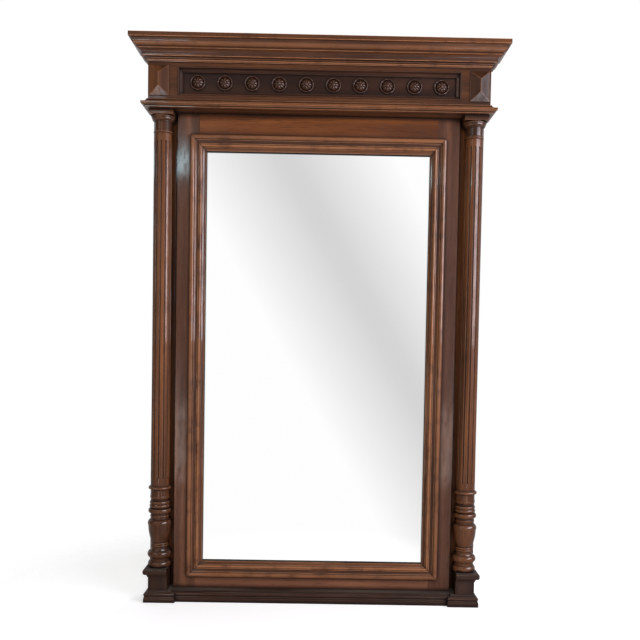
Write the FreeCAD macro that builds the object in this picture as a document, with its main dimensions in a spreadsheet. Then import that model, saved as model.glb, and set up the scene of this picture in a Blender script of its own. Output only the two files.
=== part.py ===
import FreeCAD, Part
import math
import os
import Sketcher

Vector = FreeCAD.Vector
Rotation = FreeCAD.Rotation

# Driving sizes in millimetres. Heights stack up from the floor, depths count from the wall.
sizes = {
    # Heights of the stacked members
    "base_height": 34.0,
    "plinth_height": 100.0,
    "cap_height": 26.0,
    "foot_height": 245.0,
    "shaft_length": 1043.0,
    "capital_height": 51.0,
    "abacus_thickness": 14.0,
    "architrave_height": 24.0,
    "frieze_height": 106.0,
    "crown_height": 67.0,
    # Widths across the front, from the outside inwards
    "carcass_width": 992.0,
    "post_width": 78.0,
    "stile_width": 63.0,
    "die_inset": 8.0,
    # Depths from the wall outwards
    "frame_front": 55.0,
    "frame_thickness": 42.0,
    "base_rail_thickness": 22.5,
    "plinth_break": 11.0,
    "frieze_overhang": 18.5,
    "column_gap": 1.5,
    # How far the mouldings stand out
    "crown_projection": 47.0,
    "architrave_projection": 17.5,
    "base_projection": 11.5,
    "cap_projection": 13.0,
    # Rails of the mirror frame
    "top_rail_height": 87.0,
    "bottom_rail_height": 94.0,
    "tenon_thickness": 12.0,
    "tenon_length": 36.0,
    "tenon_shoulder": 14.0,
    "tenon_clearance": 0.2,
    # Moulding round the mirror
    "bolection_width": 46.0,
    "bolection_rise": 14.0,
    "bolection_lap": 24.0,
    # Mirror plate and its blocks
    "glass_thickness": 5.0,
    "glass_setback": 10.0,
    "glass_clearance": 2.0,
    "glass_block_length": 50.0,
    "glass_block_width": 14.0,
    # Back panel
    "back_thickness": 12.0,
    "back_lap": 40.0,
    "back_clearance": 0.5,
    "tongue_length": 6.0,
    "tongue_thickness": 4.0,
    "batten_width": 60.0,
    "batten_thickness": 9.0,
    "batten_inset": 140.0,
    "batten_end_gap": 30.0,
    "batten_screw_head": 8.0,
    "batten_screw_shank": 4.0,
    "batten_screw_length": 18.0,
    "batten_screw_edge": 40.0,
    # Turn buttons
    "button_length": 46.0,
    "button_width": 16.0,
    "button_thickness": 5.0,
    "button_pivot_inset": 12.0,
    "button_gap": 0.3,
    "pivot_shank": 4.0,
    "pivot_clearance": 0.05,
    "pivot_depth": 18.0,
    "pivot_head": 8.0,
    "pivot_head_height": 2.0,
    "button_height_margin": 300.0,
    # Hanging plates
    "plate_width": 36.0,
    "plate_height": 80.0,
    "plate_thickness": 3.0,
    "plate_corner": 6.0,
    "plate_bore": 10.0,
    "plate_top_margin": 60.0,
    "plate_relief_depth": 12.0,
    "plate_relief_width": 18.0,
    "plate_screw_spacing": 56.0,
    "plate_screw_head": 8.0,
    "plate_screw_shank": 4.0,
    "plate_screw_length": 16.0,
    # Cornice box
    "frieze_board_thickness": 25.0,
    "box_side_thickness": 20.0,
    "box_board_thickness": 14.0,
    "glue_block_side": 24.0,
    "glue_block_length": 70.0,
    # Diamond-point blocks and the strip beside them
    "diamond_margin": 4.0,
    "diamond_end_margin": 9.5,
    "diamond_width": 57.0,
    "diamond_base": 2.0,
    "diamond_rise": 14.0,
    "diamond_hip": 25.5,
    "frieze_strip": 25.0,
    # Sunken panel of the frieze
    "recess_depth": 15.0,
    "recess_margin_bottom": 12.5,
    "recess_margin_top": 12.5,
    "recess_moulding_width": 13.0,
    "recess_moulding_rise": 16.0,
    "panel_thickness": 10.0,
    "panel_lap": 10.0,
    # Rosettes
    "rosette_end_margin": 42.8,
    "rosette_radius": 22.5,
    "rosette_rise": 12.0,
    "crease_radius": 1.9,
    # Columns
    "die_width": 56.0,
    "foot_radius": 35.5,
    "shaft_radius_bottom": 27.8,
    "shaft_radius_top": 25.4,
    "capital_radius": 35.0,
    "abacus_width": 70.0,
    "flute_radius": 2.6,
    "flute_depth": 2.4,
    "flute_margin_bottom": 24.0,
    "flute_margin_top": 22.0,
    "spigot_radius": 11.0,
    "spigot_length": 28.0,
    "spigot_clearance": 0.1,
    "spigot_end_gap": 2.0,
    # Small extra length that every cut runs past the wood
    "overrun": 2.0,
}
rosette_count = 10
flute_count = 12
petal_count = 8
glass_blocks_per_side = 4
back_board_count = 3

doc = FreeCAD.newDocument("trumeau_mirror")
sheet = doc.addObject("Spreadsheet::Sheet", "Sizes")


class Length:
    """A size that carries its value and the cell formula that gives it."""

    def __init__(self, value, text):
        self.value = value
        self.text = text

    def __add__(self, other):
        other = as_length(other)
        return Length(self.value + other.value, "(%s + %s)" % (self.text, other.text))

    def __sub__(self, other):
        other = as_length(other)
        return Length(self.value - other.value, "(%s - %s)" % (self.text, other.text))

    def __mul__(self, other):
        other = as_length(other)
        return Length(self.value * other.value, "(%s * %s)" % (self.text, other.text))

    def __truediv__(self, other):
        other = as_length(other)
        return Length(self.value / other.value, "(%s / %s)" % (self.text, other.text))

    def __neg__(self):
        return Length(-self.value, "(0 - %s)" % self.text)


def as_length(item):
    if isinstance(item, Length):
        return item
    return Length(float(item), repr(float(item)))


class Named:
    """Every driving size, by its name."""


size = Named()
for row, (name, value) in enumerate(sizes.items(), start=1):
    sheet.set("A%d" % row, name)
    sheet.set("B%d" % row, str(value))
    sheet.setAlias("B%d" % row, name)
    setattr(size, name, Length(value, "Sizes." + name))
doc.recompute()
zero = Length(0.0, "0")
# Bows of a quarter circle and of a button's end, see outline.
quarter_bow = math.tan(math.radians(22.5))
button_end_bow = 0.9

# Heights that the pieces share
soffit_level = (size.plinth_height + size.foot_height + size.shaft_length
                + size.capital_height + size.abacus_thickness)
frieze_bottom = soffit_level + size.architrave_height
crown_bottom = frieze_bottom + size.frieze_height
overall_height = crown_bottom + size.crown_height
# Depths from the wall; the front is at -Y
base_depth = size.frame_front + size.base_rail_thickness
plinth_front = base_depth + size.plinth_break
frieze_depth = plinth_front + size.frieze_overhang
frame_back = size.frame_front - size.frame_thickness
column_depth = plinth_front - size.die_width / 2
post_depth = column_depth - size.capital_radius - size.column_gap
wall = (frieze_depth + size.crown_projection) / 2
# Distances from the middle
carcass_half = size.carcass_width / 2
frame_half = carcass_half - size.post_width
opening_half = frame_half - size.stile_width
column_x = carcass_half - size.die_inset - size.die_width / 2
recess_half = carcass_half - size.diamond_margin - size.diamond_width - size.frieze_strip
# The opening of the frame, and the moulding round it that covers its edge
opening_bottom = size.bottom_rail_height
opening_top = soffit_level - size.top_rail_height
bolection_half = opening_half + size.bolection_lap
bolection_low = opening_bottom - size.bolection_lap
bolection_high = opening_top + size.bolection_lap
# The sunken panel of the frieze
recess_low = frieze_bottom + size.recess_margin_bottom
recess_high = crown_bottom - size.recess_margin_top
node_objects = []


def y_at(depth):
    return wall - depth


def bind(item, path, length):
    item.setExpression(path, as_length(length).text)


def place(item, x, y, z, axis=None, turn=0.0):
    if axis is not None:
        item.Placement = FreeCAD.Placement(Vector(0, 0, 0), Rotation(axis, turn))
    bind(item, ".Placement.Base.x", x)
    bind(item, ".Placement.Base.y", y)
    bind(item, ".Placement.Base.z", z)


def keep(item, name):
    item.Label = name
    node_objects.append(item)
    return item


# Building blocks

def box(name, x, y, z, along, across, up):
    block = doc.addObject("Part::Box", name)
    bind(block, "Length", along)
    bind(block, "Width", across)
    bind(block, "Height", up)
    place(block, x, y, z)
    return block


def span_box(name, x_low, x_high, depth_low, depth_high, z_low, z_high):
    return box(name, x_low, y_at(depth_high), z_low,
               x_high - x_low, depth_high - depth_low, z_high - z_low)


def cut(name, base, tools):
    joined = tools[0]
    if len(tools) > 1:
        joined = doc.addObject("Part::MultiFuse", name + "_tools")
        joined.Shapes = tools
    result = doc.addObject("Part::Cut", name)
    result.Base = base
    result.Tool = joined
    return result


def fuse(name, pieces):
    result = doc.addObject("Part::MultiFuse", name)
    result.Shapes = pieces
    return result


def group(name, pieces):
    result = doc.addObject("Part::Compound", name)
    result.Links = pieces
    return keep(result, name)


def new_body(name):
    return doc.addObject("PartDesign::Body", name + "_body")


def new_sketch(body, role, name, offset=None):
    sketch = body.newObject("Sketcher::SketchObject", name)
    plane = [item for item in body.Origin.OriginFeatures if item.Role == role][0]
    sketch.AttachmentSupport = [(plane, "")]
    sketch.MapMode = "FlatFace"
    if offset is not None:
        bind(sketch, ".AttachmentOffset.Base.z", offset)
    return sketch


def fix_point(sketch, index, end, x, y):
    for kind, length, axis in (("DistanceX", x, -2), ("DistanceY", y, -1)):
        if length.value == 0:
            sketch.addConstraint(Sketcher.Constraint("PointOnObject", index, end, axis))
        else:
            number = sketch.addConstraint(Sketcher.Constraint(kind, -1, 1, index, end, length.value))
            sketch.setExpression("Constraints[%d]" % number, length.text)


def arc_through(start, finish, bow):
    # A bow is the tangent of a quarter of the arc's angle, positive where it turns to the left.
    chord = finish - start
    radius = chord.Length * (1 + bow * bow) / (4 * abs(bow))
    middle = (start + finish) * 0.5
    side = Vector(-chord.y, chord.x, 0) * ((1 - bow * bow) / (4 * bow))
    centre = middle + side
    first, last = (start, finish) if bow > 0 else (finish, start)
    angle_first = math.atan2(first.y - centre.y, first.x - centre.x)
    angle_last = math.atan2(last.y - centre.y, last.x - centre.x)
    if angle_last < angle_first:
        angle_last += 2 * math.pi
    circle = Part.Circle(centre, Vector(0, 0, 1), radius)
    return Part.ArcOfCircle(circle, angle_first, angle_last)


def outline(sketch, corners):
    """Closed outline; each corner is (x, y) or (x, y, bow) where the bow shapes the edge after it."""
    points = [(as_length(corner[0]), as_length(corner[1])) for corner in corners]
    bows = [corner[2] if len(corner) > 2 else 0 for corner in corners]
    ends = []
    for number, (point, bow) in enumerate(zip(points, bows)):
        after = points[(number + 1) % len(points)]
        start = Vector(point[0].value, point[1].value, 0)
        finish = Vector(after[0].value, after[1].value, 0)
        if bow == 0:
            index = sketch.addGeometry(Part.LineSegment(start, finish))
            ends.append((index, 1, 2))
            continue
        index = sketch.addGeometry(arc_through(start, finish, bow))
        ends.append((index, 1, 2) if bow > 0 else (index, 2, 1))
        reach_x = after[0] - point[0]
        reach_y = after[1] - point[1]
        ratio = (1 + bow * bow) / (4 * abs(bow))
        radius_text = "sqrt(%s ^ 2 + %s ^ 2) * %r" % (reach_x.text, reach_y.text, ratio)
        radius = (finish - start).Length * ratio
        constraint = sketch.addConstraint(Sketcher.Constraint("Radius", index, radius))
        sketch.setExpression("Constraints[%d]" % constraint, radius_text)
    for number, (index, head, tail) in enumerate(ends):
        following, next_head, _ = ends[(number + 1) % len(ends)]
        sketch.addConstraint(Sketcher.Constraint("Coincident", index, tail, following, next_head))
        fix_point(sketch, index, head, *points[number])


def circle_sketch(sketch, centres, radius):
    for x, y in centres:
        x, y = as_length(x), as_length(y)
        index = sketch.addGeometry(Part.Circle(Vector(x.value, y.value, 0), Vector(0, 0, 1), radius.value))
        fix_point(sketch, index, 3, x, y)
        constraint = sketch.addConstraint(Sketcher.Constraint("Radius", index, radius.value))
        sketch.setExpression("Constraints[%d]" % constraint, radius.text)


def pad(body, sketch, length, name):
    feature = body.newObject("PartDesign::Pad", name)
    feature.Profile = sketch
    bind(feature, "Length", length)
    return feature


def pocket(body, sketch, length, name):
    feature = body.newObject("PartDesign::Pocket", name)
    feature.Profile = sketch
    bind(feature, "Length", length)
    return feature


def revolve(body, sketch, name):
    feature = body.newObject("PartDesign::Revolution", name)
    feature.Profile = sketch
    feature.ReferenceAxis = (sketch, ["V_Axis"])
    feature.Angle = 360.0
    return feature


def round_grooves(body, name, plane, x, y, lean, radius, run, section, count):
    """A ring of grooves with round ends: each is turned about a line that starts at (x, y).

    The lean is the line's tangent away from the plane's upright, and the ring is struck about
    the upright of the given section.
    """
    groove_section = new_sketch(body, plane, name + "_section")
    groove_section.AttachmentOffset = FreeCAD.Placement(Vector(0, 0, 0), Rotation(Vector(0, 0, 1), 1.0))
    bind(groove_section, ".AttachmentOffset.Base.x", x)
    bind(groove_section, ".AttachmentOffset.Base.y", y)
    groove_section.setExpression(".AttachmentOffset.Rotation.Angle", "atan(%s)" % lean.text)
    outline(groove_section, [(zero, zero, quarter_bow), (radius, radius),
                             (radius, run - radius, quarter_bow), (zero, run)])
    groove = body.newObject("PartDesign::Groove", name)
    groove.Profile = groove_section
    groove.ReferenceAxis = (groove_section, ["V_Axis"])
    groove.Angle = 360.0
    pattern = body.newObject("PartDesign::PolarPattern", name + "_ring")
    pattern.Originals = [groove]
    pattern.Axis = (section, ["V_Axis"])
    pattern.Angle = 360.0
    pattern.Occurrences = count
    body.Tip = pattern


def scaled(shares, across, up):
    """Shares become lengths; a bow keeps bulging outwards where the outline is mirrored."""
    turn = 1 if across.value * up.value > 0 else -1
    return [(across * item[0], up * item[1]) + tuple(bow * turn for bow in item[2:]) for item in shares]


# Moulding sections, as shares of their projection and height from the bottom of the wall face.
crown_shares = [
    (0, 0), (0.06, 0), (0.06, 0.03, 0.55), (0.08, 0.125), (0.11, 0.135, -0.4), (0.24, 0.185),
    (0.31, 0.185), (0.31, 0.25, -0.32), (0.54, 0.445), (0.58, 0.445), (0.58, 0.52),
    (0.60, 0.52, 0.36), (0.81, 0.70), (0.81, 0.715, -0.4), (0.95, 0.81), (1, 0.81), (1, 1), (0, 1)]
architrave_shares = [
    (0, 0), (0.46, 0), (0.46, 0.125), (0.5, 0.15, 0.3), (0.9, 0.31), (1, 0.31), (1, 0.555),
    (0.94, 0.57, -0.3), (0.2, 0.93), (0.2, 1), (0, 1)]
base_shares = [
    (0, 0), (1, 0), (1, 0.35), (0.88, 0.38), (0.88, 0.5), (0.74, 0.545), (0.74, 0.575, 0.6),
    (0.74, 0.83), (0.55, 0.85, -0.35), (0.08, 0.98), (0.08, 1), (0, 1)]
cap_shares = [
    (0, 0), (0.16, 0), (0.16, 0.07, -0.35), (0.68, 0.35), (0.82, 0.35), (0.82, 0.42, 0.25),
    (1, 0.62), (1, 0.82, 0.35), (0.72, 1), (0, 1)]


def moulding_run(name, shares, projection, height, run, start, finish):
    """A straight length along X that stands out towards -Y.

    The run is measured along its back. Each end is square, outer (mitred round an outward
    corner) or inner (mitred into an inward corner).
    """
    body = new_body(name)
    reach_start = projection if start == "outer" else zero
    reach_finish = projection if finish == "outer" else zero
    section = new_sketch(body, "YZ_Plane", name + "_section", -reach_start)
    outline(section, scaled(shares, -projection, height))
    body.Tip = pad(body, section, run + reach_start + reach_finish, name + "_length")
    waste = []
    outer_edge = -projection - size.overrun
    if start == "outer":
        waste.append([(outer_edge, zero), (zero, zero), (outer_edge, outer_edge)])
    if start == "inner":
        waste.append([(zero, zero), (zero, outer_edge), (-outer_edge, outer_edge)])
    if finish == "outer":
        waste.append([(run, zero), (run - outer_edge, zero), (run - outer_edge, outer_edge)])
    if finish == "inner":
        waste.append([(run, zero), (run, outer_edge), (run + outer_edge, outer_edge)])
    for number, corners in enumerate(waste):
        mitre = new_sketch(body, "XY_Plane", "%s_mitre_%d" % (name, number), height + size.overrun)
        outline(mitre, corners)
        body.Tip = pocket(body, mitre, height + size.overrun * 2, "%s_mitre_cut_%d" % (name, number))
    return body


def frame_run(name, corners, run, width, proud, back):
    """One of four mitred lengths round an opening: the outer edge lies along X, the width goes up."""
    body = new_body(name)
    section = new_sketch(body, "YZ_Plane", name + "_section")
    outline(section, corners)
    body.Tip = pad(body, section, run, name + "_length")
    waste = ([(zero, zero), (width + size.overrun, width + size.overrun), (zero, width + size.overrun)],
             [(run, zero), (run, width + size.overrun), (run - width - size.overrun, width + size.overrun)])
    for number, points in enumerate(waste):
        mitre = new_sketch(body, "XZ_Plane", "%s_mitre_%d" % (name, number), proud + size.overrun)
        outline(mitre, points)
        body.Tip = pocket(body, mitre, proud + back + size.overrun * 2,
                          "%s_mitre_cut_%d" % (name, number))
    return body


def four_sided(name, section_of, width, proud, back, x_half, depth, z_low, z_high):
    """The bottom, right, top and left lengths round an opening with the given outer edges."""
    across = x_half * 2
    up = z_high - z_low
    places = (("bottom", across, -x_half, z_low, 0.0), ("right", up, x_half, z_low, -90.0),
              ("top", across, x_half, z_high, 180.0), ("left", up, -x_half, z_high, 90.0))
    bodies = {}
    for side, run, x, z, turn in places:
        body = frame_run("%s_%s" % (name, side), section_of(), run, width, proud, back)
        place(body, x, y_at(depth), z, Vector(0, 1, 0), turn)
        bodies[side] = body
    return bodies


def crossing(label, side):
    return label + ("_left" if side < 0 else "_right")


def side_span(inner, outer, side):
    """The low and high X of a piece that lies between two distances from the middle."""
    if side < 0:
        return -outer, -inner
    return inner, outer


# Carcass: posts, mirror frame and base

def make_post(side, screws):
    name = crossing("post", side)
    x_low, x_high = side_span(frame_half, carcass_half, side)
    blank = span_box(name + "_blank", x_low, x_high, zero, post_depth, zero, soffit_level)
    centre = (x_low + x_high) / 2
    plate_z = soffit_level - size.plate_top_margin
    housing = span_box(name + "_housing", centre - size.plate_width / 2, centre + size.plate_width / 2,
                       -size.overrun, size.plate_thickness,
                       plate_z - size.plate_height / 2, plate_z + size.plate_height / 2)
    relief = span_box(name + "_relief", centre - size.plate_relief_width / 2,
                      centre + size.plate_relief_width / 2,
                      -size.overrun, size.plate_thickness + size.plate_relief_depth,
                      plate_z - size.plate_relief_width / 2, plate_z + size.plate_relief_width / 2)
    keep(cut(name, blank, [housing, relief] + screws), name)
    make_hanging_plate(side, centre, plate_z, screws)


def make_hanging_plate(side, centre, level, screws):
    """A steel plate with round corners, let in flush; its middle bore takes a hook in the wall."""
    name = crossing("hanging_plate", side)
    body = new_body(name)
    half_width = size.plate_width / 2
    half_height = size.plate_height / 2
    corner = size.plate_corner
    face = new_sketch(body, "XZ_Plane", name + "_outline")
    outline(face, [(corner - half_width, -half_height), (half_width - corner, -half_height, quarter_bow),
                   (half_width, corner - half_height), (half_width, half_height - corner, quarter_bow),
                   (half_width - corner, half_height), (corner - half_width, half_height, quarter_bow),
                   (-half_width, half_height - corner), (-half_width, corner - half_height, quarter_bow)])
    body.Tip = pad(body, face, size.plate_thickness, name + "_plate")
    hole = new_sketch(body, "XZ_Plane", name + "_hole", size.plate_thickness + size.overrun)
    circle_sketch(hole, [(zero, zero)], size.plate_bore / 2)
    body.Tip = pocket(body, hole, size.plate_thickness + size.overrun * 2, name + "_bore")
    place(body, centre, wall, level)
    keep(cut(name, body, screws), name)


def make_frame(pivots):
    back = frame_back
    tenon_middle = back + size.frame_thickness / 2
    tenon_half = size.tenon_thickness / 2
    rebate_half = opening_half + size.back_lap
    rebate_front = back + size.back_thickness
    rails = (("rail_top", opening_top, soffit_level), ("rail_bottom", zero, opening_bottom))
    for side in (-1, 1):
        name = crossing("frame_stile", side)
        x_low, x_high = side_span(opening_half, frame_half, side)
        stile = span_box(name + "_blank", x_low, x_high, back, size.frame_front, zero, soffit_level)
        rebate_low, rebate_high = side_span(opening_half - size.overrun, rebate_half, side)
        tools = [span_box(name + "_rebate", rebate_low, rebate_high, back - size.overrun, rebate_front,
                          opening_bottom - size.back_lap, opening_top + size.back_lap)]
        for rail, z_low, z_high in rails:
            mortise_low, mortise_high = side_span(
                opening_half - size.overrun, opening_half + size.tenon_length + size.tenon_clearance, side)
            tools.append(span_box(
                "%s_mortise_%s" % (name, rail), mortise_low, mortise_high,
                tenon_middle - tenon_half - size.tenon_clearance,
                tenon_middle + tenon_half + size.tenon_clearance,
                z_low + size.tenon_shoulder - size.tenon_clearance,
                z_high - size.tenon_shoulder + size.tenon_clearance))
        keep(cut(name, stile, tools + pivots[side]), name)
    for rail, z_low, z_high in rails:
        body_of_rail = span_box(rail + "_blank", -opening_half, opening_half, back, size.frame_front,
                                z_low, z_high)
        rebate = span_box(rail + "_rebate", -rebate_half, rebate_half, back - size.overrun, rebate_front,
                          opening_bottom - size.back_lap, opening_top + size.back_lap)
        planed = cut(rail + "_planed", body_of_rail, [rebate])
        tenons = []
        for side in (-1, 1):
            low, high = side_span(opening_half, opening_half + size.tenon_length, side)
            tenons.append(span_box(crossing(rail + "_tenon", side), low, high,
                                   tenon_middle - tenon_half, tenon_middle + tenon_half,
                                   z_low + size.tenon_shoulder, z_high - size.tenon_shoulder))
        keep(fuse("frame_" + rail, [planed] + tenons), "frame_" + rail)


bolection_shares = [
    (0, 0), (0.46, 0, 0.75), (0.83, 0.27), (0.64, 0.285), (0.64, 0.325, -0.3), (0.43, 0.54),
    (0.57, 0.54), (0.57, 0.57), (0.5, 0.585, 0.8), (0.5, 0.765), (0.36, 0.775), (0.36, 0.795, -0.2),
    (0.07, 0.97), (0.03, 1)]
recess_shares = [
    (0, 0), (1, 0), (1, 0.02, 0.5), (1, 0.24, -0.35), (0.34, 0.74), (0.3, 0.8, 0.6), (0.28, 1), (0, 1)]


def bolection_section():
    """Section of the moulding round the mirror: width from its outer edge, rise from the frame's face."""
    width = size.bolection_width
    lap = size.bolection_lap
    lip = size.glass_setback
    face = scaled(bolection_shares, -size.bolection_rise, width)
    return face + [(lip, width), (lip, lap + size.back_clearance), (zero, lap + size.back_clearance)]


def make_bolection():
    lengths = four_sided("mirror_moulding", bolection_section, size.bolection_width, size.bolection_rise,
                         size.glass_setback, bolection_half, size.frame_front, bolection_low,
                         bolection_high)
    for side, body in lengths.items():
        keep(body, "mirror_moulding_" + side)


def make_glass():
    inset = size.glass_clearance
    front = size.frame_front - size.glass_setback
    back_face = front - size.glass_thickness
    keep(span_box("mirror_glass", -opening_half + inset, opening_half - inset, back_face, front,
                  opening_bottom + inset, opening_top - inset), "mirror_glass")
    panel_face = frame_back + size.back_thickness
    blocks = []
    for side in (-1, 1):
        low, high = side_span(opening_half - size.glass_block_width, opening_half, side)
        pitch = (opening_top - opening_bottom) / glass_blocks_per_side
        for number in range(glass_blocks_per_side):
            middle = opening_bottom + pitch * (number + 0.5)
            blocks.append(span_box(crossing("glass_block_%d" % number, side), low, high,
                                   panel_face + size.back_clearance, back_face,
                                   middle - size.glass_block_length / 2,
                                   middle + size.glass_block_length / 2))
    group("glass_blocks", blocks)


def make_battens(half, board, low, high):
    """Two battens across the back boards, and the screws by the board that each one holds."""
    face = frame_back
    reach = half - size.batten_end_gap
    battens = []
    by_board = [[] for _ in range(back_board_count)]
    for row, level in enumerate((low + size.batten_inset, high - size.batten_inset)):
        batten = span_box("batten_%d" % row, -reach, reach, face - size.batten_thickness, face,
                          level - size.batten_width / 2, level + size.batten_width / 2)
        screws = []
        for number in range(back_board_count):
            centre = -half + board * (number + 0.5)
            for edge in (-1, 1):
                x = centre + (board / 2 - size.batten_screw_edge) * edge
                screw = wood_screw("batten_screw_%d_%d_%d" % (row, number, edge + 1), x,
                                   face - size.batten_thickness, level, size.batten_screw_head,
                                   size.batten_screw_shank, size.batten_screw_length)
                screws.append(screw)
                by_board[number].append(screw)
        battens.append(cut("batten_drilled_%d" % row, batten, screws))
    group("back_battens", battens)
    group("batten_screws", [screw for ours in by_board for screw in ours])
    return by_board


def make_back():
    half = opening_half + size.back_lap - size.back_clearance
    low = opening_bottom - size.back_lap + size.back_clearance
    high = opening_top + size.back_lap - size.back_clearance
    face = frame_back
    inner = frame_back + size.back_thickness
    middle = (face + inner) / 2
    tongue_half = size.tongue_thickness / 2
    board = half * 2 / back_board_count
    screws = make_battens(half, board, low, high)
    for number in range(back_board_count):
        name = "back_board_%d" % (number + 1)
        x_low = -half + board * number
        x_high = x_low + board
        plank = span_box(name + "_plank", x_low, x_high, face, inner, low, high)
        if number > 0:
            groove = span_box(name + "_groove", x_low - size.overrun, x_low + size.tongue_length,
                              middle - tongue_half, middle + tongue_half,
                              low - size.overrun, high + size.overrun)
            plank = cut(name + "_grooved", plank, [groove])
        if number < back_board_count - 1:
            tongue = span_box(name + "_tongue", x_high, x_high + size.tongue_length - size.back_clearance,
                              middle - tongue_half + size.tenon_clearance,
                              middle + tongue_half - size.tenon_clearance, low, high)
            plank = fuse(name + "_tongued", [plank, tongue])
        keep(cut(name, plank, screws[number]), name)


def wood_screw(name, x, depth, z, head, shank, length):
    """A countersunk screw driven forwards from the given depth, its head flush with that face."""
    cone = doc.addObject("Part::Cone", name + "_head")
    bind(cone, "Radius1", head / 2)
    bind(cone, "Radius2", shank / 2)
    bind(cone, "Height", (head - shank) / 2)
    rod = doc.addObject("Part::Cylinder", name + "_shank")
    bind(rod, "Radius", shank / 2)
    bind(rod, "Height", length)
    for item in (cone, rod):
        place(item, x, y_at(depth), z, Vector(1, 0, 0), 90.0)
    return fuse(name, [cone, rod])


def make_base():
    keep(span_box("base_rail", -frame_half, frame_half, size.frame_front, base_depth,
                  zero, size.base_height), "base_rail")
    centre = moulding_run("base_moulding_centre", base_shares, size.base_projection, size.base_height,
                          frame_half * 2, "inner", "inner")
    place(centre, -frame_half, y_at(base_depth), zero)
    keep(centre, "base_moulding_centre")
    for side in (-1, 1):
        make_plinth(side)


def make_plinth(side):
    name = crossing("plinth_block", side)
    die_outer = column_x + size.die_width / 2
    die_inner = column_x - size.die_width / 2
    low, high = side_span(frame_half, die_outer, side)
    foot = span_box(name + "_foot", low, high, post_depth, plinth_front, zero, size.base_height)
    low, high = side_span(die_inner, die_outer, side)
    die = span_box(name + "_die", low, high, post_depth, plinth_front, size.base_height,
                   size.plinth_height)
    keep(fuse(name, [foot, die]), name)
    side_run = plinth_front - post_depth
    front_run = die_outer - frame_half
    base = (base_shares, size.base_projection, size.base_height)
    cap = (cap_shares, size.cap_projection, size.cap_height)
    cap_level = size.plinth_height - size.cap_height
    pieces = []
    if side < 0:
        pieces.append((base, side_run, "square", "outer", -die_outer, post_depth, zero, -90.0))
        pieces.append((base, front_run, "outer", "outer", -die_outer, plinth_front, zero, 0.0))
        pieces.append((base, size.plinth_break, "outer", "inner", -frame_half, plinth_front, zero, 90.0))
        pieces.append((cap, side_run, "square", "outer", -die_outer, post_depth, cap_level, -90.0))
        pieces.append((cap, size.die_width, "outer", "square", -die_outer, plinth_front, cap_level, 0.0))
    else:
        pieces.append((base, size.plinth_break, "inner", "outer", frame_half, base_depth, zero, -90.0))
        pieces.append((base, front_run, "outer", "outer", frame_half, plinth_front, zero, 0.0))
        pieces.append((base, side_run, "outer", "square", die_outer, plinth_front, zero, 90.0))
        pieces.append((cap, size.die_width, "square", "outer", die_inner, plinth_front, cap_level, 0.0))
        pieces.append((cap, side_run, "outer", "square", die_outer, plinth_front, cap_level, 90.0))
    bodies = {"base": [], "cap": []}
    for number, (kind, run, start, finish, x, depth, z, turn) in enumerate(pieces):
        label = "base" if kind is base else "cap"
        part_name = "%s_%s_%d" % (crossing("plinth_moulding", side), label, number)
        body = moulding_run(part_name, kind[0], kind[1], kind[2], run, start, finish)
        place(body, x, y_at(depth), z, Vector(0, 0, 1), turn)
        bodies[label].append(body)
    group(crossing("base_moulding", side), bodies["base"])
    group(crossing("cap_moulding", side), bodies["cap"])


# Entablature: soffit, frieze box, frieze ornament and cornices

def make_cornice(name, shares, projection, height, level):
    run = size.carcass_width
    front = moulding_run(name + "_front", shares, projection, height, run, "outer", "outer")
    place(front, -carcass_half, y_at(frieze_depth), level)
    left = moulding_run(name + "_return_left", shares, projection, height, frieze_depth,
                        "square", "outer")
    place(left, -carcass_half, wall, level, Vector(0, 0, 1), -90.0)
    right = moulding_run(name + "_return_right", shares, projection, height, frieze_depth,
                         "outer", "square")
    place(right, carcass_half, y_at(frieze_depth), level, Vector(0, 0, 1), 90.0)
    keep(front, name + "_front")
    keep(left, name + "_return_left")
    keep(right, name + "_return_right")


def make_frieze_box():
    board_back = frieze_depth - size.frieze_board_thickness
    board_top = overall_height - size.box_board_thickness
    blank = span_box("frieze_board_blank", -carcass_half, carcass_half, board_back, frieze_depth,
                     soffit_level, board_top)
    opening = span_box("frieze_board_opening", -recess_half, recess_half,
                       board_back - size.overrun, frieze_depth + size.overrun,
                       recess_low, recess_high)
    panel_front = frieze_depth - size.recess_depth
    lap = size.panel_lap
    rebate = span_box("frieze_board_rebate", -recess_half - lap, recess_half + lap,
                      board_back - size.overrun, panel_front, recess_low - lap, recess_high + lap)
    keep(cut("frieze_board", blank, [opening, rebate]), "frieze_board")
    gap = size.tenon_clearance
    keep(span_box("frieze_panel", -recess_half - lap + gap, recess_half + lap - gap,
                  panel_front - size.panel_thickness, panel_front,
                  recess_low - lap + gap, recess_high + lap - gap), "frieze_panel")
    lengths = four_sided("recess_moulding", recess_section, size.recess_moulding_width,
                         size.recess_moulding_rise, zero, recess_half, panel_front, recess_low,
                         recess_high)
    group("recess_moulding_long", [lengths["bottom"], lengths["top"]])
    group("recess_moulding_short", [lengths["left"], lengths["right"]])
    for side in (-1, 1):
        name = crossing("frieze_side", side)
        low, high = side_span(carcass_half - size.box_side_thickness, carcass_half, side)
        keep(span_box(name, low, high, zero, board_back, soffit_level, board_top), name)
    inner_half = carcass_half - size.box_side_thickness
    keep(span_box("soffit_board", -inner_half, inner_half, zero, board_back, soffit_level,
                  soffit_level + size.box_board_thickness), "soffit_board")
    keep(span_box("top_board", -carcass_half, carcass_half, zero, frieze_depth, board_top,
                  overall_height), "top_board")
    make_glue_blocks(inner_half, board_back)
    make_diamonds()
    make_rosettes(panel_front, (recess_low + recess_high) / 2)


def recess_section():
    return scaled(recess_shares, -size.recess_moulding_rise, size.recess_moulding_width)


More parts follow.
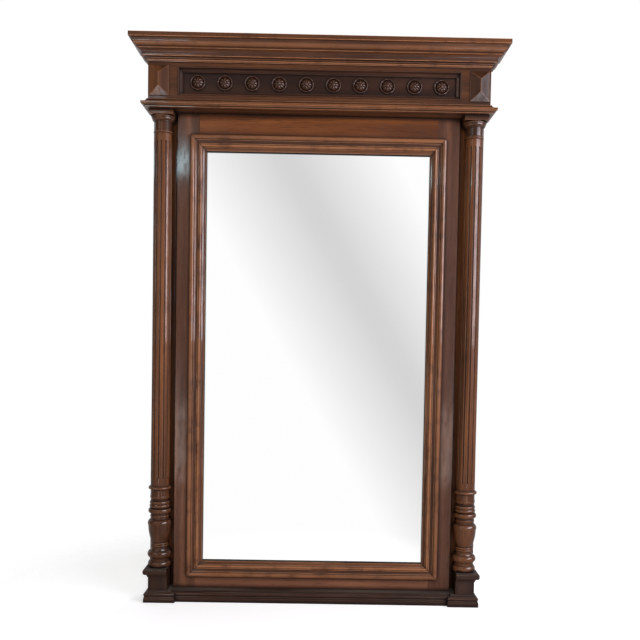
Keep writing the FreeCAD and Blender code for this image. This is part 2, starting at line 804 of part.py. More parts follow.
def make_glue_blocks(inner_half, board_back):
    floor = soffit_level + size.box_board_thickness
    length = size.glue_block_length
    places = (-inner_half + length, -recess_half / 2 - length / 2, recess_half / 2 - length / 2,
              inner_half - length * 2)
    blocks = []
    for number, x in enumerate(places):
        body = new_body("glue_block_%d" % number)
        section = new_sketch(body, "YZ_Plane", "glue_block_%d_section" % number)
        outline(section, [(zero, zero), (size.glue_block_side, zero), (zero, size.glue_block_side)])
        body.Tip = pad(body, section, size.glue_block_length, "glue_block_%d_length" % number)
        place(body, x, y_at(board_back), floor)
        blocks.append(body)
    group("glue_blocks", blocks)


def make_diamonds():
    for side in (-1, 1):
        name = crossing("diamond_block", side)
        outer = carcass_half - size.diamond_margin
        low, high = side_span(outer - size.diamond_width, outer, side)
        front = y_at(frieze_depth + size.diamond_base)
        bottom = frieze_bottom + size.diamond_end_margin
        height = size.frieze_height - size.diamond_end_margin * 2
        base = box(name + "_base", low, front, bottom, size.diamond_width, size.diamond_base, height)
        point = doc.addObject("Part::Wedge", name + "_point")
        # The wedge rises along its own Y, so it is turned to rise towards the front.
        bind(point, "Xmin", zero)
        bind(point, "Xmax", size.diamond_width)
        bind(point, "Ymin", zero)
        bind(point, "Ymax", size.diamond_rise)
        bind(point, "Zmin", zero)
        bind(point, "Zmax", height)
        bind(point, "X2min", size.diamond_width / 2)
        bind(point, "X2max", size.diamond_width / 2)
        bind(point, "Z2min", size.diamond_hip)
        bind(point, "Z2max", height - size.diamond_hip)
        place(point, high, front, bottom, Vector(0, 0, 1), 180.0)
        keep(fuse(name, [base, point]), name)


rosette_shares = [
    (0, 0), (1, 0), (1, 0.25, 0.5), (0.8, 0.3), (0.76, 0.24), (0.7, 0.3, 0.28), (0.24, 0.86),
    (0.21, 0.8, 0.25), (0.05, 1), (0, 1)]
# Ends of the crease between two petals, as shares of the radius and the rise.
crease_outer_shares = (0.8, 0.36)
crease_inner_shares = (0.3, 1.0)


def make_rosettes(panel_front, level):
    """Ten domed flowers in a ring of leaf, each turned round the Y axis."""
    body = new_body("rosette")
    section = new_sketch(body, "XY_Plane", "rosette_section")
    outline(section, scaled(rosette_shares, size.rosette_radius, size.rosette_rise))
    body.Tip = revolve(body, section, "rosette_turning")
    radius = size.rosette_radius
    rise = size.rosette_rise
    outer_x, outer_y = crease_outer_shares
    inner_x, inner_y = crease_inner_shares
    inward = radius * (outer_x - inner_x)
    upward = rise * (inner_y - outer_y)
    run = Length(math.hypot(inward.value, upward.value),
                 "sqrt(%s ^ 2 + %s ^ 2)" % (inward.text, upward.text))
    round_grooves(body, "rosette_crease", "XY_Plane", radius * outer_x, rise * outer_y,
                  inward / upward, size.crease_radius, run, section, petal_count)
    doc.recompute()
    # The whole row takes the shape of the first flower, stepped along X by the pitch.
    row = doc.addObject("Part::Feature", "frieze_rosettes")
    flowers = []
    last_x = recess_half - size.recess_moulding_width - size.rosette_end_margin
    pitch = last_x * 2 / (rosette_count - 1)
    for number in range(rosette_count):
        flower = body.Shape.copy()
        x = pitch * (number - (rosette_count - 1) / 2)
        turned = FreeCAD.Placement(Vector(x.value, 0, 0), Rotation(Vector(1, 0, 0), 180.0))
        flower.Placement = turned
        flowers.append(flower)
    row.Shape = Part.makeCompound(flowers)
    place(row, zero, y_at(panel_front), level)
    keep(row, "frieze_rosettes")


# Columns

foot_shares = [
    (0, 0), (0.86, 0), (0.86, 0.006, 0.385), (0.86, 0.076), (0.8, 0.082), (0.8, 0.09, -0.25),
    (0.84, 0.124), (0.88, 0.127, 0.45), (0.88, 0.2), (0.76, 0.205, -0.2), (0.68, 0.252),
    (0.69, 0.256, 0.6), (0.69, 0.279), (0.675, 0.281, 0.6), (0.675, 0.304), (0.645, 0.308, 0.1),
    (0.96, 0.52, 0.4), (0.79, 0.592), (0.76, 0.596), (0.76, 0.618), (0.79, 0.62), (0.79, 0.64),
    (0.75, 0.645), (0.75, 0.668), (0.91, 0.674, 0.28), (0.91, 0.718), (0.78, 0.73), (0.8, 0.733, 0.4),
    (0.8, 0.775), (0.79, 0.778, 0.4), (0.79, 0.815), (0.71, 0.822), (0.705, 0.845, -0.22),
    (0.9, 0.955), (0.91, 0.962, 0.3), (0.91, 0.995), (0.83, 1), (0, 1)]
capital_shares = [
    (0, 0), (0.73, 0), (0.74, 0.02, 0.75), (0.74, 0.145), (0.75, 0.15), (0.75, 0.18), (0.726, 0.19),
    (0.726, 0.665), (0.786, 0.672), (0.786, 0.705, 0.35), (0.93, 0.855), (0.945, 0.86), (0.945, 0.89),
    (0.955, 0.895, 0.6), (0.955, 0.99), (0.9, 1), (0, 1)]


def turned_body(name, shares, radius, height, spigot_up, spigot_down):
    """A turned piece on the Z axis, with a plain round tenon at either end where one is asked for."""
    body = new_body(name)
    section = new_sketch(body, "XZ_Plane", name + "_section")
    corners = scaled(shares, radius, height)
    if spigot_down:
        corners = [(zero, -size.spigot_length), (size.spigot_radius, -size.spigot_length),
                   (size.spigot_radius, zero)] + corners[1:]
    if spigot_up:
        corners = corners[:-1] + [(size.spigot_radius, height),
                                  (size.spigot_radius, height + size.spigot_length),
                                  (zero, height + size.spigot_length)]
    outline(section, corners)
    body.Tip = revolve(body, section, name + "_turning")
    return body


def make_column(side):
    x = column_x * side
    y = y_at(column_depth)
    foot_level = size.plinth_height
    shaft_level = foot_level + size.foot_height
    capital_level = shaft_level + size.shaft_length
    abacus_level = capital_level + size.capital_height
    foot = turned_body(crossing("column_foot", side), foot_shares, size.foot_radius, size.foot_height,
                       True, False)
    place(foot, x, y, foot_level)
    keep(foot, crossing("column_foot", side))
    capital = turned_body(crossing("column_capital", side), capital_shares, size.capital_radius,
                          size.capital_height, False, True)
    place(capital, x, y, capital_level)
    keep(capital, crossing("column_capital", side))
    shaft = make_shaft(crossing("column_shaft", side))
    place(shaft, x, y, shaft_level)
    keep(shaft, crossing("column_shaft", side))
    half = size.abacus_width / 2
    name = crossing("abacus", side)
    keep(span_box(name, x - half, x + half, post_depth, column_depth + half, abacus_level,
                  soffit_level), name)


def make_shaft(name):
    body = new_body(name)
    bottom = size.shaft_radius_bottom
    top = size.shaft_radius_top
    length = size.shaft_length
    bore = size.spigot_radius + size.spigot_clearance
    bore_depth = size.spigot_length + size.spigot_end_gap
    section = new_sketch(body, "XZ_Plane", name + "_section")
    outline(section, [(zero, bore_depth), (bore, bore_depth), (bore, zero), (bottom, zero),
                      (top, length), (bore, length), (bore, length - bore_depth),
                      (zero, length - bore_depth)])
    body.Tip = revolve(body, section, name + "_turning")
    doc.recompute()
    cut_flutes(body, name, section)
    return body


def cut_flutes(body, name, section):
    """The flutes follow the taper of the shaft and stop short of its ends."""
    length = size.shaft_length
    low = size.flute_margin_bottom
    run = length - size.flute_margin_top - low
    slope = (size.shaft_radius_bottom - size.shaft_radius_top) / length
    sink = size.flute_radius - size.flute_depth
    start = size.shaft_radius_bottom - slope * low + sink
    round_grooves(body, name + "_flute", "YZ_Plane", -start, low, -slope, size.flute_radius, run,
                  section, flute_count)


# Turn buttons on the back

def make_turn_buttons():
    pivot_x = opening_half + size.back_lap + size.button_pivot_inset
    low = opening_bottom + size.button_height_margin
    high = opening_top - size.button_height_margin
    screws = {-1: [], 1: []}
    for side in (-1, 1):
        for level_name, level in (("lower", low), ("upper", high)):
            name = crossing("turn_button_" + level_name, side)
            keep(make_button(name, pivot_x * side, level, 0.0 if side < 0 else 180.0), name)
            screws[side].append(pivot_screw(name + "_screw", pivot_x * side, level))
    group("pivot_screws", screws[-1] + screws[1])
    return screws


def make_button(name, x, z, turn):
    """A flat bar with round ends that turns on a hole near one end; its arm points along X."""
    body = new_body(name)
    half = size.button_width / 2
    reach = size.button_length - size.button_width
    face = new_sketch(body, "XZ_Plane", name + "_outline")
    outline(face, [(zero, -half), (reach, -half, button_end_bow), (reach, half),
                   (zero, half, button_end_bow)])
    body.Tip = pad(body, face, size.button_thickness, name + "_plate")
    hole = new_sketch(body, "XZ_Plane", name + "_pivot_hole", size.button_thickness + size.overrun)
    circle_sketch(hole, [(zero, zero)], size.pivot_shank / 2 + size.pivot_clearance)
    body.Tip = pocket(body, hole, size.button_thickness + size.overrun * 2, name + "_bore")
    back_face = frame_back - size.button_gap - size.button_thickness
    place(body, x, y_at(back_face), z, Vector(0, 1, 0), turn)
    return body


def pivot_screw(name, x, z):
    """A round-headed screw in the stile, long enough to leave the button free to turn."""
    reach = size.button_gap * 2 + size.button_thickness
    shank = doc.addObject("Part::Cylinder", name + "_shank")
    bind(shank, "Radius", size.pivot_shank / 2)
    bind(shank, "Height", reach + size.pivot_depth)
    head = doc.addObject("Part::Cylinder", name + "_head")
    bind(head, "Radius", size.pivot_head / 2)
    bind(head, "Height", size.pivot_head_height)
    head_depth = frame_back - reach
    place(shank, x, y_at(head_depth), z, Vector(1, 0, 0), 90.0)
    place(head, x, y_at(head_depth - size.pivot_head_height), z, Vector(1, 0, 0), 90.0)
    return fuse(name, [head, shank])


def make_plate_screws():
    centre = (frame_half + carcass_half) / 2
    level = soffit_level - size.plate_top_margin
    screws = {-1: [], 1: []}
    for side in (-1, 1):
        for end in (-1, 1):
            z = level + size.plate_screw_spacing / 2 * end
            screws[side].append(wood_screw("plate_screw_%d_%d" % (side + 1, end + 1), centre * side, zero,
                                           z, size.plate_screw_head, size.plate_screw_shank,
                                           size.plate_screw_length))
    group("plate_screws", screws[-1] + screws[1])
    return screws


def build():
    plate_screws = make_plate_screws()
    for side in (-1, 1):
        make_post(side, plate_screws[side])
    make_frame(make_turn_buttons())
    make_bolection()
    make_glass()
    make_back()
    make_base()
    for side in (-1, 1):
        make_column(side)
    make_frieze_box()
    make_cornice("architrave", architrave_shares, size.architrave_projection,
                 size.architrave_height, soffit_level)
    make_cornice("crown", crown_shares, size.crown_projection, size.crown_height, crown_bottom)
    doc.recompute()


def write_parts():
    for item in doc.Objects:
        state = " ".join(item.State)
        if "Invalid" in state or "Error" in state:
            raise RuntimeError("%s: %s" % (item.Label, state))
    for item in node_objects:
        if item.Shape.isNull() or not item.Shape.isValid():
            raise RuntimeError(item.Label + " has no valid shape")
    os.makedirs("parts", exist_ok=True)
    for item in node_objects:
        item.Shape.exportStep(os.path.join("parts", item.Label + ".step"))
        print("%-28s %2d solids  %10.1f mm3" % (item.Label, len(item.Shape.Solids), item.Shape.Volume))
    print(len(node_objects), "nodes")


build()
write_parts()
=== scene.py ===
import math
import bmesh
import bpy
from mathutils import Matrix, Vector, noise


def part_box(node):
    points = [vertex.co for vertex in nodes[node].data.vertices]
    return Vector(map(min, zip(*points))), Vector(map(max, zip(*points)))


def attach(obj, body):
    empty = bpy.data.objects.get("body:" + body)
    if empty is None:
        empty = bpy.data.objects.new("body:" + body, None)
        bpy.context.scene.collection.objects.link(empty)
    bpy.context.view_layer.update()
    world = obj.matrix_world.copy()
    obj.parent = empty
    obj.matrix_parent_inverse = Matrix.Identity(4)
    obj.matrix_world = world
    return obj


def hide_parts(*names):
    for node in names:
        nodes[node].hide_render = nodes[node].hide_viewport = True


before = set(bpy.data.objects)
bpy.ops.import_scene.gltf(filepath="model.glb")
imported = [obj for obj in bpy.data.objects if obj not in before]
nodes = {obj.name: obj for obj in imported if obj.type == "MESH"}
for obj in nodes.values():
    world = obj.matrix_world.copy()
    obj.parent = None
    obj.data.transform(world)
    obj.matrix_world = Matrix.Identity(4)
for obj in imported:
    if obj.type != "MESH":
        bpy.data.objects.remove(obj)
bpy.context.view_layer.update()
print("frame loaded with", len(nodes), "nodes")


# Shader maths: a wire is a socket that takes part in ordinary expressions

class Wire:
    def __init__(self, shader, socket):
        self.shader = shader
        self.socket = socket

    def maths(self, operation, *others):
        return self.shader.maths(operation, self, *others)

    def __add__(self, other):
        return self.maths("ADD", other)

    def __radd__(self, other):
        return self.maths("ADD", other)

    def __mul__(self, other):
        return self.maths("MULTIPLY", other)

    def __rmul__(self, other):
        return self.maths("MULTIPLY", other)

    def __sub__(self, other):
        return self.maths("SUBTRACT", other)

    def __rsub__(self, other):
        return self.shader.maths("SUBTRACT", other, self)

    def __truediv__(self, other):
        return self.maths("DIVIDE", other)

    def __rtruediv__(self, other):
        return self.shader.maths("DIVIDE", other, self)

    def clamped(self, low=0.0):
        return self.maths("MAXIMUM", low).maths("MINIMUM", 1.0)

    def between(self, low, high):            # 0 at low, 1 at high, smooth in between
        return self.shader.node("ShaderNodeMapRange", {"interpolation_type": "SMOOTHSTEP"},
                                {"Value": self, "From Min": low, "From Max": high})


class Shader:
    def __init__(self, tree):
        self.tree = tree
        tree.nodes.clear()

    def node(self, kind, settings=None, inputs=None, output=0):
        made = self.tree.nodes.new(kind)
        for key, value in (settings or {}).items():
            if key == "stops":
                ramp = made.color_ramp
                while len(ramp.elements) < len(value):
                    ramp.elements.new(0.5)
                for element, (place, colour) in zip(ramp.elements, value):
                    element.position = place
                    element.color = (*colour, 1)
            else:
                setattr(made, key, value)
        for key, value in (inputs or {}).items():
            if isinstance(value, Wire):
                self.tree.links.new(value.socket, made.inputs[key])
            else:
                made.inputs[key].default_value = value
        return Wire(self, made.outputs[output]) if made.outputs else made

    def maths(self, operation, *items):
        return self.node("ShaderNodeMath", {"operation": operation}, dict(enumerate(items)))

    def mix(self, factor, first, second):    # colours; a plain one is given as red, green and blue
        first, second = (colour if isinstance(colour, Wire) else (*colour, 1) for colour in (first, second))
        return self.node("ShaderNodeMix", {"data_type": "RGBA"}, {0: factor, 6: first, 7: second}, 2)

    def noise(self, vector, scale, detail=2.0, roughness=0.5, distortion=0.0):
        return self.node("ShaderNodeTexNoise", None,
                         {"Vector": vector, "Scale": scale, "Detail": detail, "Roughness": roughness,
                          "Distortion": distortion})

    def stretched(self, vector, scales):
        return self.node("ShaderNodeVectorMath", {"operation": "MULTIPLY"}, {0: vector, 1: scales})

    def parts(self, vector, axis):
        return self.node("ShaderNodeSeparateXYZ", None, {0: vector}, axis)

    def fact(self, name):                    # a number stored on the mesh
        return self.node("ShaderNodeAttribute", {"attribute_name": name}, None, "Fac")

    def ray(self, kind):                     # 1 for rays of that kind, for the floor and the room
        return self.node("ShaderNodeLightPath", None, None, kind)


# Materials

grainScales = {                              # how the texture space is squeezed along the grain
    "x": (0.045, 1.0, 1.0),
    "y": (1.0, 0.045, 1.0),
    "z": (1.0, 1.0, 0.045),
}
polishScales = {                             # the same for the streaks left by the polishing pad
    "x": (0.3, 1.0, 1.0),
    "y": (1.0, 0.3, 1.0),
    "z": (1.0, 1.0, 0.3),
}
seedSteps = (3.7, 5.3, 2.9)                  # no two pieces show the same stretch of grain


def freshMaterial(name):
    material = bpy.data.materials.new(name)
    material.use_nodes = True
    return material, Shader(material.node_tree)


def timber(name, grain, look):
    material, shader = freshMaterial(name)
    place = shader.node("ShaderNodeTexCoord", None, None, "Object")
    seed = shader.fact("seed")
    edge = shader.fact("edge")
    offset = shader.node("ShaderNodeCombineXYZ", None,
                         {axis: seed * step for axis, step in enumerate(seedSteps)})
    shifted = shader.node("ShaderNodeVectorMath", {"operation": "ADD"}, {0: place, 1: offset})
    along = shader.stretched(shifted, grainScales[grain])
    figure = shader.noise(along, *look["figure"])
    bands = (figure * look["bandCount"]).maths("SINE") * 0.5 + 0.5
    streak = shader.noise(along, *look["streaks"])
    fibre = shader.noise(along, *look["fibres"])
    pores = shader.noise(along, *look["pores"]).between(*look["poreRange"])
    cloud = shader.noise(shifted, *look["clouds"])
    piece = shader.node("ShaderNodeTexWhiteNoise", {"noise_dimensions": "1D"}, {"W": seed})
    depth = (bands * look["bandShare"] + streak * look["streakShare"] + fibre * look["fibreShare"]
             + cloud * look["cloudShare"] + piece * look["pieceShare"])
    total = (look["bandShare"] + look["streakShare"] + look["fibreShare"] + look["cloudShare"]
             + look["pieceShare"])
    colour = shader.node("ShaderNodeValToRGB", {"stops": look["stops"]}, {"Fac": depth / total}, "Color")
    colour = shader.mix(pores * look["poreDark"], colour, look["poreColour"])
    # Wear and painted highlight: convex arrises and beads are lightened towards the wear colour, which is
    # also made bright enough to paint the highlight bands on the mouldings.
    patchy = shader.noise(shifted, *look["patches"]).between(*look["patchRange"])
    wornAndHighlit = edge.clamped() * patchy * look["wearAndHighlight"]
    colour = shader.mix(wornAndHighlit, colour, look["wearAndHighlightColour"])
    # Painted shade: hollows, coves, creases and the sides of turned parts close to the frame are darkened
    # where the ambient occlusion and the hollow faces say shade falls.
    openness = shader.node("ShaderNodeAmbientOcclusion", {"samples": look["hollowSamples"]},
                           {"Distance": look["hollowReach"]}, "AO")
    hollow = (1.0 - openness.between(*look["openRange"])).maths("MAXIMUM", edge * -1.0)
    packed = shader.fact("mitre").maths("MAXIMUM", edge * look["arrisDirt"])     # dirt in the joints
    packed = packed * (patchy * (1 - look["packedLeast"]) + look["packedLeast"])
    # The darkening mask is painted shade in the hollows together with real dirt packed in the joints; it also
    # dulls the coat there.
    shadeAndDirt = hollow.maths("MAXIMUM", packed).clamped() * look["shadeAndDirt"]
    colour = shader.mix(shadeAndDirt, colour, look["shadeAndDirtColour"])
    normalUp = shader.parts(shader.node("ShaderNodeNewGeometry", None, None, "Normal"), "Z")
    level = normalUp.between(*look["levelRange"])                                # level tops are dusty
    colour = shader.mix(level * cloud.between(*look["dustRange"]) * look["dust"], colour, look["dustColour"])
    smudge = shader.noise(shifted, *look["smudges"])
    rubbed = shader.stretched(shifted, polishScales[grain])
    polish = shader.noise(rubbed, *look["polishing"]).between(*look["polishRange"])
    polish = polish * (1 - look["polishLeast"]) + look["polishLeast"]
    rough = (look["rough"] + smudge * look["smudge"] + pores * look["poreRough"] + shadeAndDirt * look["shadeAndDirtRough"]
             - wornAndHighlit * look["wornSmooth"] + level * look["levelRough"])
    bumps = fibre * look["fibreRise"] + streak * look["streakRise"] - pores * look["poreSink"]
    normal = shader.node("ShaderNodeBump", None,
                         {"Strength": look["bump"], "Distance": look["bumpDepth"], "Height": bumps},
                         "Normal")
    surface = shader.node("ShaderNodeBsdfPrincipled", None,
                          {"Base Color": colour, "Roughness": rough.clamped(look["leastRough"]),
                           "Normal": normal, "Specular IOR Level": look["specular"],
                           "Coat Weight": polish * (1.0 - shadeAndDirt) * (1.0 - level) * look["coat"],
                           "Coat Roughness": look["coatRough"], "Coat IOR": look["coatBend"]})
    shader.node("ShaderNodeOutputMaterial", None, {"Surface": surface})
    return material


walnutLook = {                               # noises: scale, detail, roughness and distortion
    "figure": (7.0, 2.0, 0.45, 0.6), "streaks": (46.0, 4.0, 0.6), "fibres": (240.0, 3.0, 0.6),
    "pores": (520.0, 2.0, 0.55), "clouds": (4.0, 2.0), "patches": (22.0, 3.0, 0.6),
    "smudges": (9.0, 3.0, 0.6), "polishing": (70.0, 4.0, 0.65), "bandCount": 30.0,
    "poreRange": (0.56, 0.68), "patchRange": (0.2, 0.55), "openRange": (0.58, 0.985),
    "levelRange": (0.9, 0.99), "dustRange": (0.25, 0.6), "polishRange": (0.34, 0.6),
    "bandShare": 0.32, "streakShare": 0.55, "fibreShare": 0.25, "cloudShare": 0.35, "pieceShare": 0.16,
    "stops": ((0.24, (0.015, 0.005, 0.0023)), (0.42, (0.045, 0.015, 0.0056)),
              (0.58, (0.092, 0.031, 0.0102)), (0.78, (0.175, 0.064, 0.021))),
    "poreDark": 0.5, "poreColour": (0.012, 0.0045, 0.003),
    "wearAndHighlight": 0.55, "wearAndHighlightColour": (0.3, 0.12, 0.045), "dust": 0.45, "dustColour": (0.13, 0.11, 0.09),
    "shadeAndDirt": 0.9, "shadeAndDirtColour": (0.007, 0.0034, 0.0026), "hollowReach": 0.016, "hollowSamples": 8,
    "arrisDirt": 0.0, "packedLeast": 0.55,
    "rough": 0.3, "smudge": 0.16, "poreRough": 0.12, "shadeAndDirtRough": 0.25, "wornSmooth": 0.05,
    "levelRough": 0.35, "leastRough": 0.05,
    "bump": 0.3, "bumpDepth": 0.0004, "fibreRise": 0.35, "streakRise": 0.35, "poreSink": 0.6,
    "specular": 0.2, "coat": 0.85, "coatRough": 0.06, "coatBend": 1.45, "polishLeast": 0.35,
}
# The other walnut looks are lighter and darker copies of this walnut for particular parts: partly each part's
# own tone, partly painted light and shade for how much light falls on it (brighter rails and stiles; darker
# frieze, posts, turned parts, carvings, base and sunken panel).
friezeLook = dict(walnutLook, stops=((0.24, (0.013, 0.0046, 0.0021)), (0.42, (0.034, 0.0117, 0.0046)),
                                     (0.58, (0.068, 0.0236, 0.0084)), (0.78, (0.14, 0.051, 0.017))))
mouldingLook = dict(walnutLook, bandShare=0.2, streakShare=0.3, wearAndHighlight=0.9, wearAndHighlightColour=(0.43, 0.18, 0.078),
                    shadeAndDirt=1.0, coat=1.0, coatRough=0.05, hollowReach=0.02,
                    stops=((0.24, (0.013, 0.0046, 0.0023)), (0.42, (0.038, 0.0132, 0.0056)),
                           (0.58, (0.08, 0.0275, 0.0104)), (0.78, (0.155, 0.058, 0.021))))
turnedLook = dict(friezeLook, wearAndHighlight=0.35, shadeAndDirt=1.0, rough=0.24, coat=1.0, coatRough=0.035, hollowReach=0.024,
                  stops=((0.24, (0.011, 0.0039, 0.002)), (0.42, (0.031, 0.0108, 0.0046)),
                         (0.58, (0.064, 0.0226, 0.0086)), (0.78, (0.13, 0.048, 0.017))))
railLook = dict(walnutLook, wearAndHighlight=0.0, arrisDirt=0.9,
                stops=((0.2, (0.026, 0.0072, 0.0023)), (0.42, (0.07, 0.02, 0.0054)),
                       (0.6, (0.122, 0.037, 0.0088)), (0.82, (0.2, 0.065, 0.016))))
stileLook = dict(walnutLook, wearAndHighlight=0.0, arrisDirt=0.9, coatRough=0.1,
                 stops=((0.2, (0.026, 0.0095, 0.005)), (0.42, (0.07, 0.0265, 0.0135)),
                        (0.6, (0.125, 0.048, 0.024)), (0.82, (0.21, 0.085, 0.043))))
carvedLook = dict(walnutLook, wearAndHighlight=0.2, wearAndHighlightColour=(0.14, 0.055, 0.024), coat=1.0, rough=0.26, coatRough=0.13,
                  stops=((0.2, (0.012, 0.0046, 0.0027)), (0.42, (0.028, 0.0108, 0.0058)),
                         (0.6, (0.052, 0.02, 0.0098)), (0.82, (0.095, 0.037, 0.017))))
recessLook = dict(carvedLook, coat=0.45, coatRough=0.2, rough=0.36)
darkLook = dict(walnutLook, wearAndHighlight=0.3, wearAndHighlightColour=(0.12, 0.05, 0.024),
                stops=((0.2, (0.008, 0.0034, 0.0022)), (0.42, (0.017, 0.0068, 0.004)),
                       (0.6, (0.031, 0.0125, 0.007)), (0.82, (0.06, 0.026, 0.0135))))
backLook = dict(walnutLook, figure=(5.0, 2.0, 0.45, 0.6), bandCount=26.0, bandShare=0.5,
                fibreShare=0.35,
                stops=((0.18, (0.17, 0.095, 0.045)), (0.42, (0.3, 0.185, 0.095)),
                       (0.6, (0.4, 0.26, 0.145)), (0.82, (0.5, 0.345, 0.21))),
                poreColour=(0.1, 0.055, 0.03), wearAndHighlightColour=(0.5, 0.36, 0.22),
                shadeAndDirtColour=(0.05, 0.03, 0.018), rough=0.62, smudge=0.12, bump=0.7, specular=0.25,
                coat=0.0)
buttonLook = dict(backLook, stops=((0.18, (0.12, 0.055, 0.022)), (0.42, (0.22, 0.11, 0.045)),
                                   (0.6, (0.3, 0.16, 0.07)), (0.82, (0.38, 0.22, 0.1))),
                  rough=0.4, bump=0.4)

woods = {                                    # what each timber is called and how it looks
    "walnut": ("walnut", walnutLook), "frieze": ("friezeWalnut", friezeLook),
    "moulding": ("mouldingWalnut", mouldingLook), "turned": ("turnedWalnut", turnedLook),
    "rail": ("railWalnut", railLook), "stile": ("stileWalnut", stileLook),
    "carved": ("carvedWalnut", carvedLook), "recess": ("recessWalnut", recessLook),
    "dark": ("darkWalnut", darkLook), "back": ("backDeal", backLook), "button": ("buttonBeech", buttonLook),
}
timbers = {}


def wood(kind, grain):                       # made once for each direction of the grain that is used
    if (kind, grain) not in timbers:
        name, look = woods[kind]
        timbers[kind, grain] = timber(name + "_" + grain, grain, look)
    return timbers[kind, grain]


steelLook = {"brushScales": (1.0, 1.0, 0.03), "brushing": (900.0, 3.0, 0.6), "stains": (70.0, 4.0, 0.65),
             "stainRange": (0.45, 0.7), "stainRough": 0.25, "brushRough": 0.12, "rust": 0.5,
             "bump": 0.3, "bumpDepth": 0.0002}
plateLook = dict(steelLook, bright=(0.42, 0.41, 0.4), dull=(0.12, 0.075, 0.05), stain=0.7, rough=0.32)
screwLook = dict(steelLook, bright=(0.5, 0.48, 0.44), dull=(0.16, 0.11, 0.08), stain=0.6, rough=0.28)


def steel(name, look):
    material, shader = freshMaterial(name)
    place = shader.node("ShaderNodeTexCoord", None, None, "Object")
    brushed = shader.noise(shader.stretched(place, look["brushScales"]), *look["brushing"])
    stain = shader.noise(place, *look["stains"]).between(*look["stainRange"])
    rust = stain * look["rust"]
    colour = shader.mix(stain * look["stain"], look["bright"], look["dull"])
    rough = look["rough"] + stain * look["stainRough"] + brushed * look["brushRough"]
    normal = shader.node("ShaderNodeBump", None,
                         {"Strength": look["bump"], "Distance": look["bumpDepth"], "Height": brushed - rust},
                         "Normal")
    surface = shader.node("ShaderNodeBsdfPrincipled", None,
                          {"Base Color": colour, "Roughness": rough, "Metallic": 1.0 - rust,
                           "Normal": normal})
    shader.node("ShaderNodeOutputMaterial", None, {"Surface": surface})
    return material


plateSteel = steel("plateSteel", plateLook)
screwSteel = steel("screwSteel", screwLook)


plateValues = {"bright": (0.985, 0.987, 0.985), "rim": (0.3, 0.34, 0.31), "rimWidth": 0.005,
               "rimShare": 0.55, "fox": (0.5, 0.46, 0.4), "foxing": 0.3, "foxSpots": (35.0, 5.0, 0.7),
               "foxRange": (0.74, 0.86), "foxRough": 0.3, "rippleScale": 5.0, "ripple": 0.02,
               "rippleDepth": 0.0001, "arris": 0.0004}


def silvered(values, low, high):
    # Old plate glass: bright, a little foxed, with a painted grey-green reflection of the moulding along its
    # rim.
    material, shader = freshMaterial("silveredPlate")
    place = shader.node("ShaderNodeTexCoord", None, None, "Object")
    x, z = shader.parts(place, "X"), shader.parts(place, "Z")
    middle = (low + high) / 2
    # Painted reflection: the plate turns grey-green within a narrow band along its rim.
    across = (x - middle.x).maths("ABSOLUTE") - (high.x - middle.x - values["rimWidth"])
    upward = (z - middle.z).maths("ABSOLUTE") - (high.z - middle.z - values["rimWidth"])
    rim = across.maths("MAXIMUM", upward).between(0.0, values["rimWidth"])
    foxing = shader.noise(place, *values["foxSpots"]).between(*values["foxRange"])
    foxing = foxing * values["foxing"]
    colour = shader.mix(foxing, values["bright"], values["fox"])
    colour = shader.mix(rim * values["rimShare"], colour, values["rim"])
    ripple = shader.noise(place, values["rippleScale"])
    normal = shader.node("ShaderNodeBump", None,
                         {"Strength": values["ripple"], "Distance": values["rippleDepth"],
                          "Height": ripple}, "Normal")
    surface = shader.node("ShaderNodeBsdfPrincipled", None,
                          {"Base Color": colour, "Metallic": 1.0, "Roughness": foxing * values["foxRough"],
                           "Normal": normal})
    shader.node("ShaderNodeOutputMaterial", None, {"Surface": surface})
    return material


print("finishes ready")


# Meshes

making = {                                   # metres and degrees
    "smoothAngle": 40.0, "carvedSmoothAngle": 60.0, "seedStep": 0.37, "edgeReach": 0.0008,
    "weld": 1e-6, "leastArea": 1e-9, "flatAngle": 0.5, "keenAngle": 25.0, "arrisSegments": 2,
    "turnedSegments": 112, "tiny": 1e-7, "arcStep": 13.0, "softAngle": 22.0, "easeShare": 0.4,
    "ringSpacing": 0.05, "mitreGap": 0.0001, "mitreDirt": 0.0012,
}
pieces = []


def addPiece(name, mesh, material, slot, node, body="mirror", smooth=making["smoothAngle"]):
    for polygon in mesh.polygons:
        polygon.use_smooth = True
    mesh.materials.clear()
    mesh.materials.append(material)
    piece = bpy.data.objects.new(name, mesh)
    bpy.context.scene.collection.objects.link(piece)
    pieces.append(piece)
    storeFacts(mesh, len(pieces) * making["seedStep"], math.radians(smooth))
    even = piece.modifiers.new("evenNormals", "WEIGHTED_NORMAL")     # keeps wide faces flat
    even.keep_sharp = True
    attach(piece, body)
    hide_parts(node)
    return piece


def storeFacts(mesh, seed, keen):
    # Each face is told its seed and how strongly it is an edge (1) or a hollow (-1); keen edges stay sharp.
    book = bmesh.new()
    book.from_mesh(mesh)
    edges = []
    for face in book.faces:
        bend = sum(line.calc_face_angle_signed(0.0) * line.calc_length() for line in face.edges
                   if len(line.link_faces) == 2)
        keenness = bend / max(face.calc_area(), making["leastArea"]) * making["edgeReach"]
        edges.append(max(-1.0, min(1.0, keenness)))
    sharp = [len(line.link_faces) == 2 and line.calc_face_angle(0.0) > keen for line in book.edges]
    book.free()
    for label, kind, domain, values in (("edge", "FLOAT", "FACE", edges),
                                        ("seed", "FLOAT", "FACE", [seed] * len(edges)),
                                        ("sharp_edge", "BOOLEAN", "EDGE", sharp)):
        stored = mesh.attributes.get(label) or mesh.attributes.new(label, kind, domain)
        stored.data.foreach_set("value", values)


def meshFrom(name, book):
    bmesh.ops.recalc_face_normals(book, faces=book.faces)
    mesh = bpy.data.meshes.new(name)
    book.to_mesh(mesh)
    book.free()
    return mesh


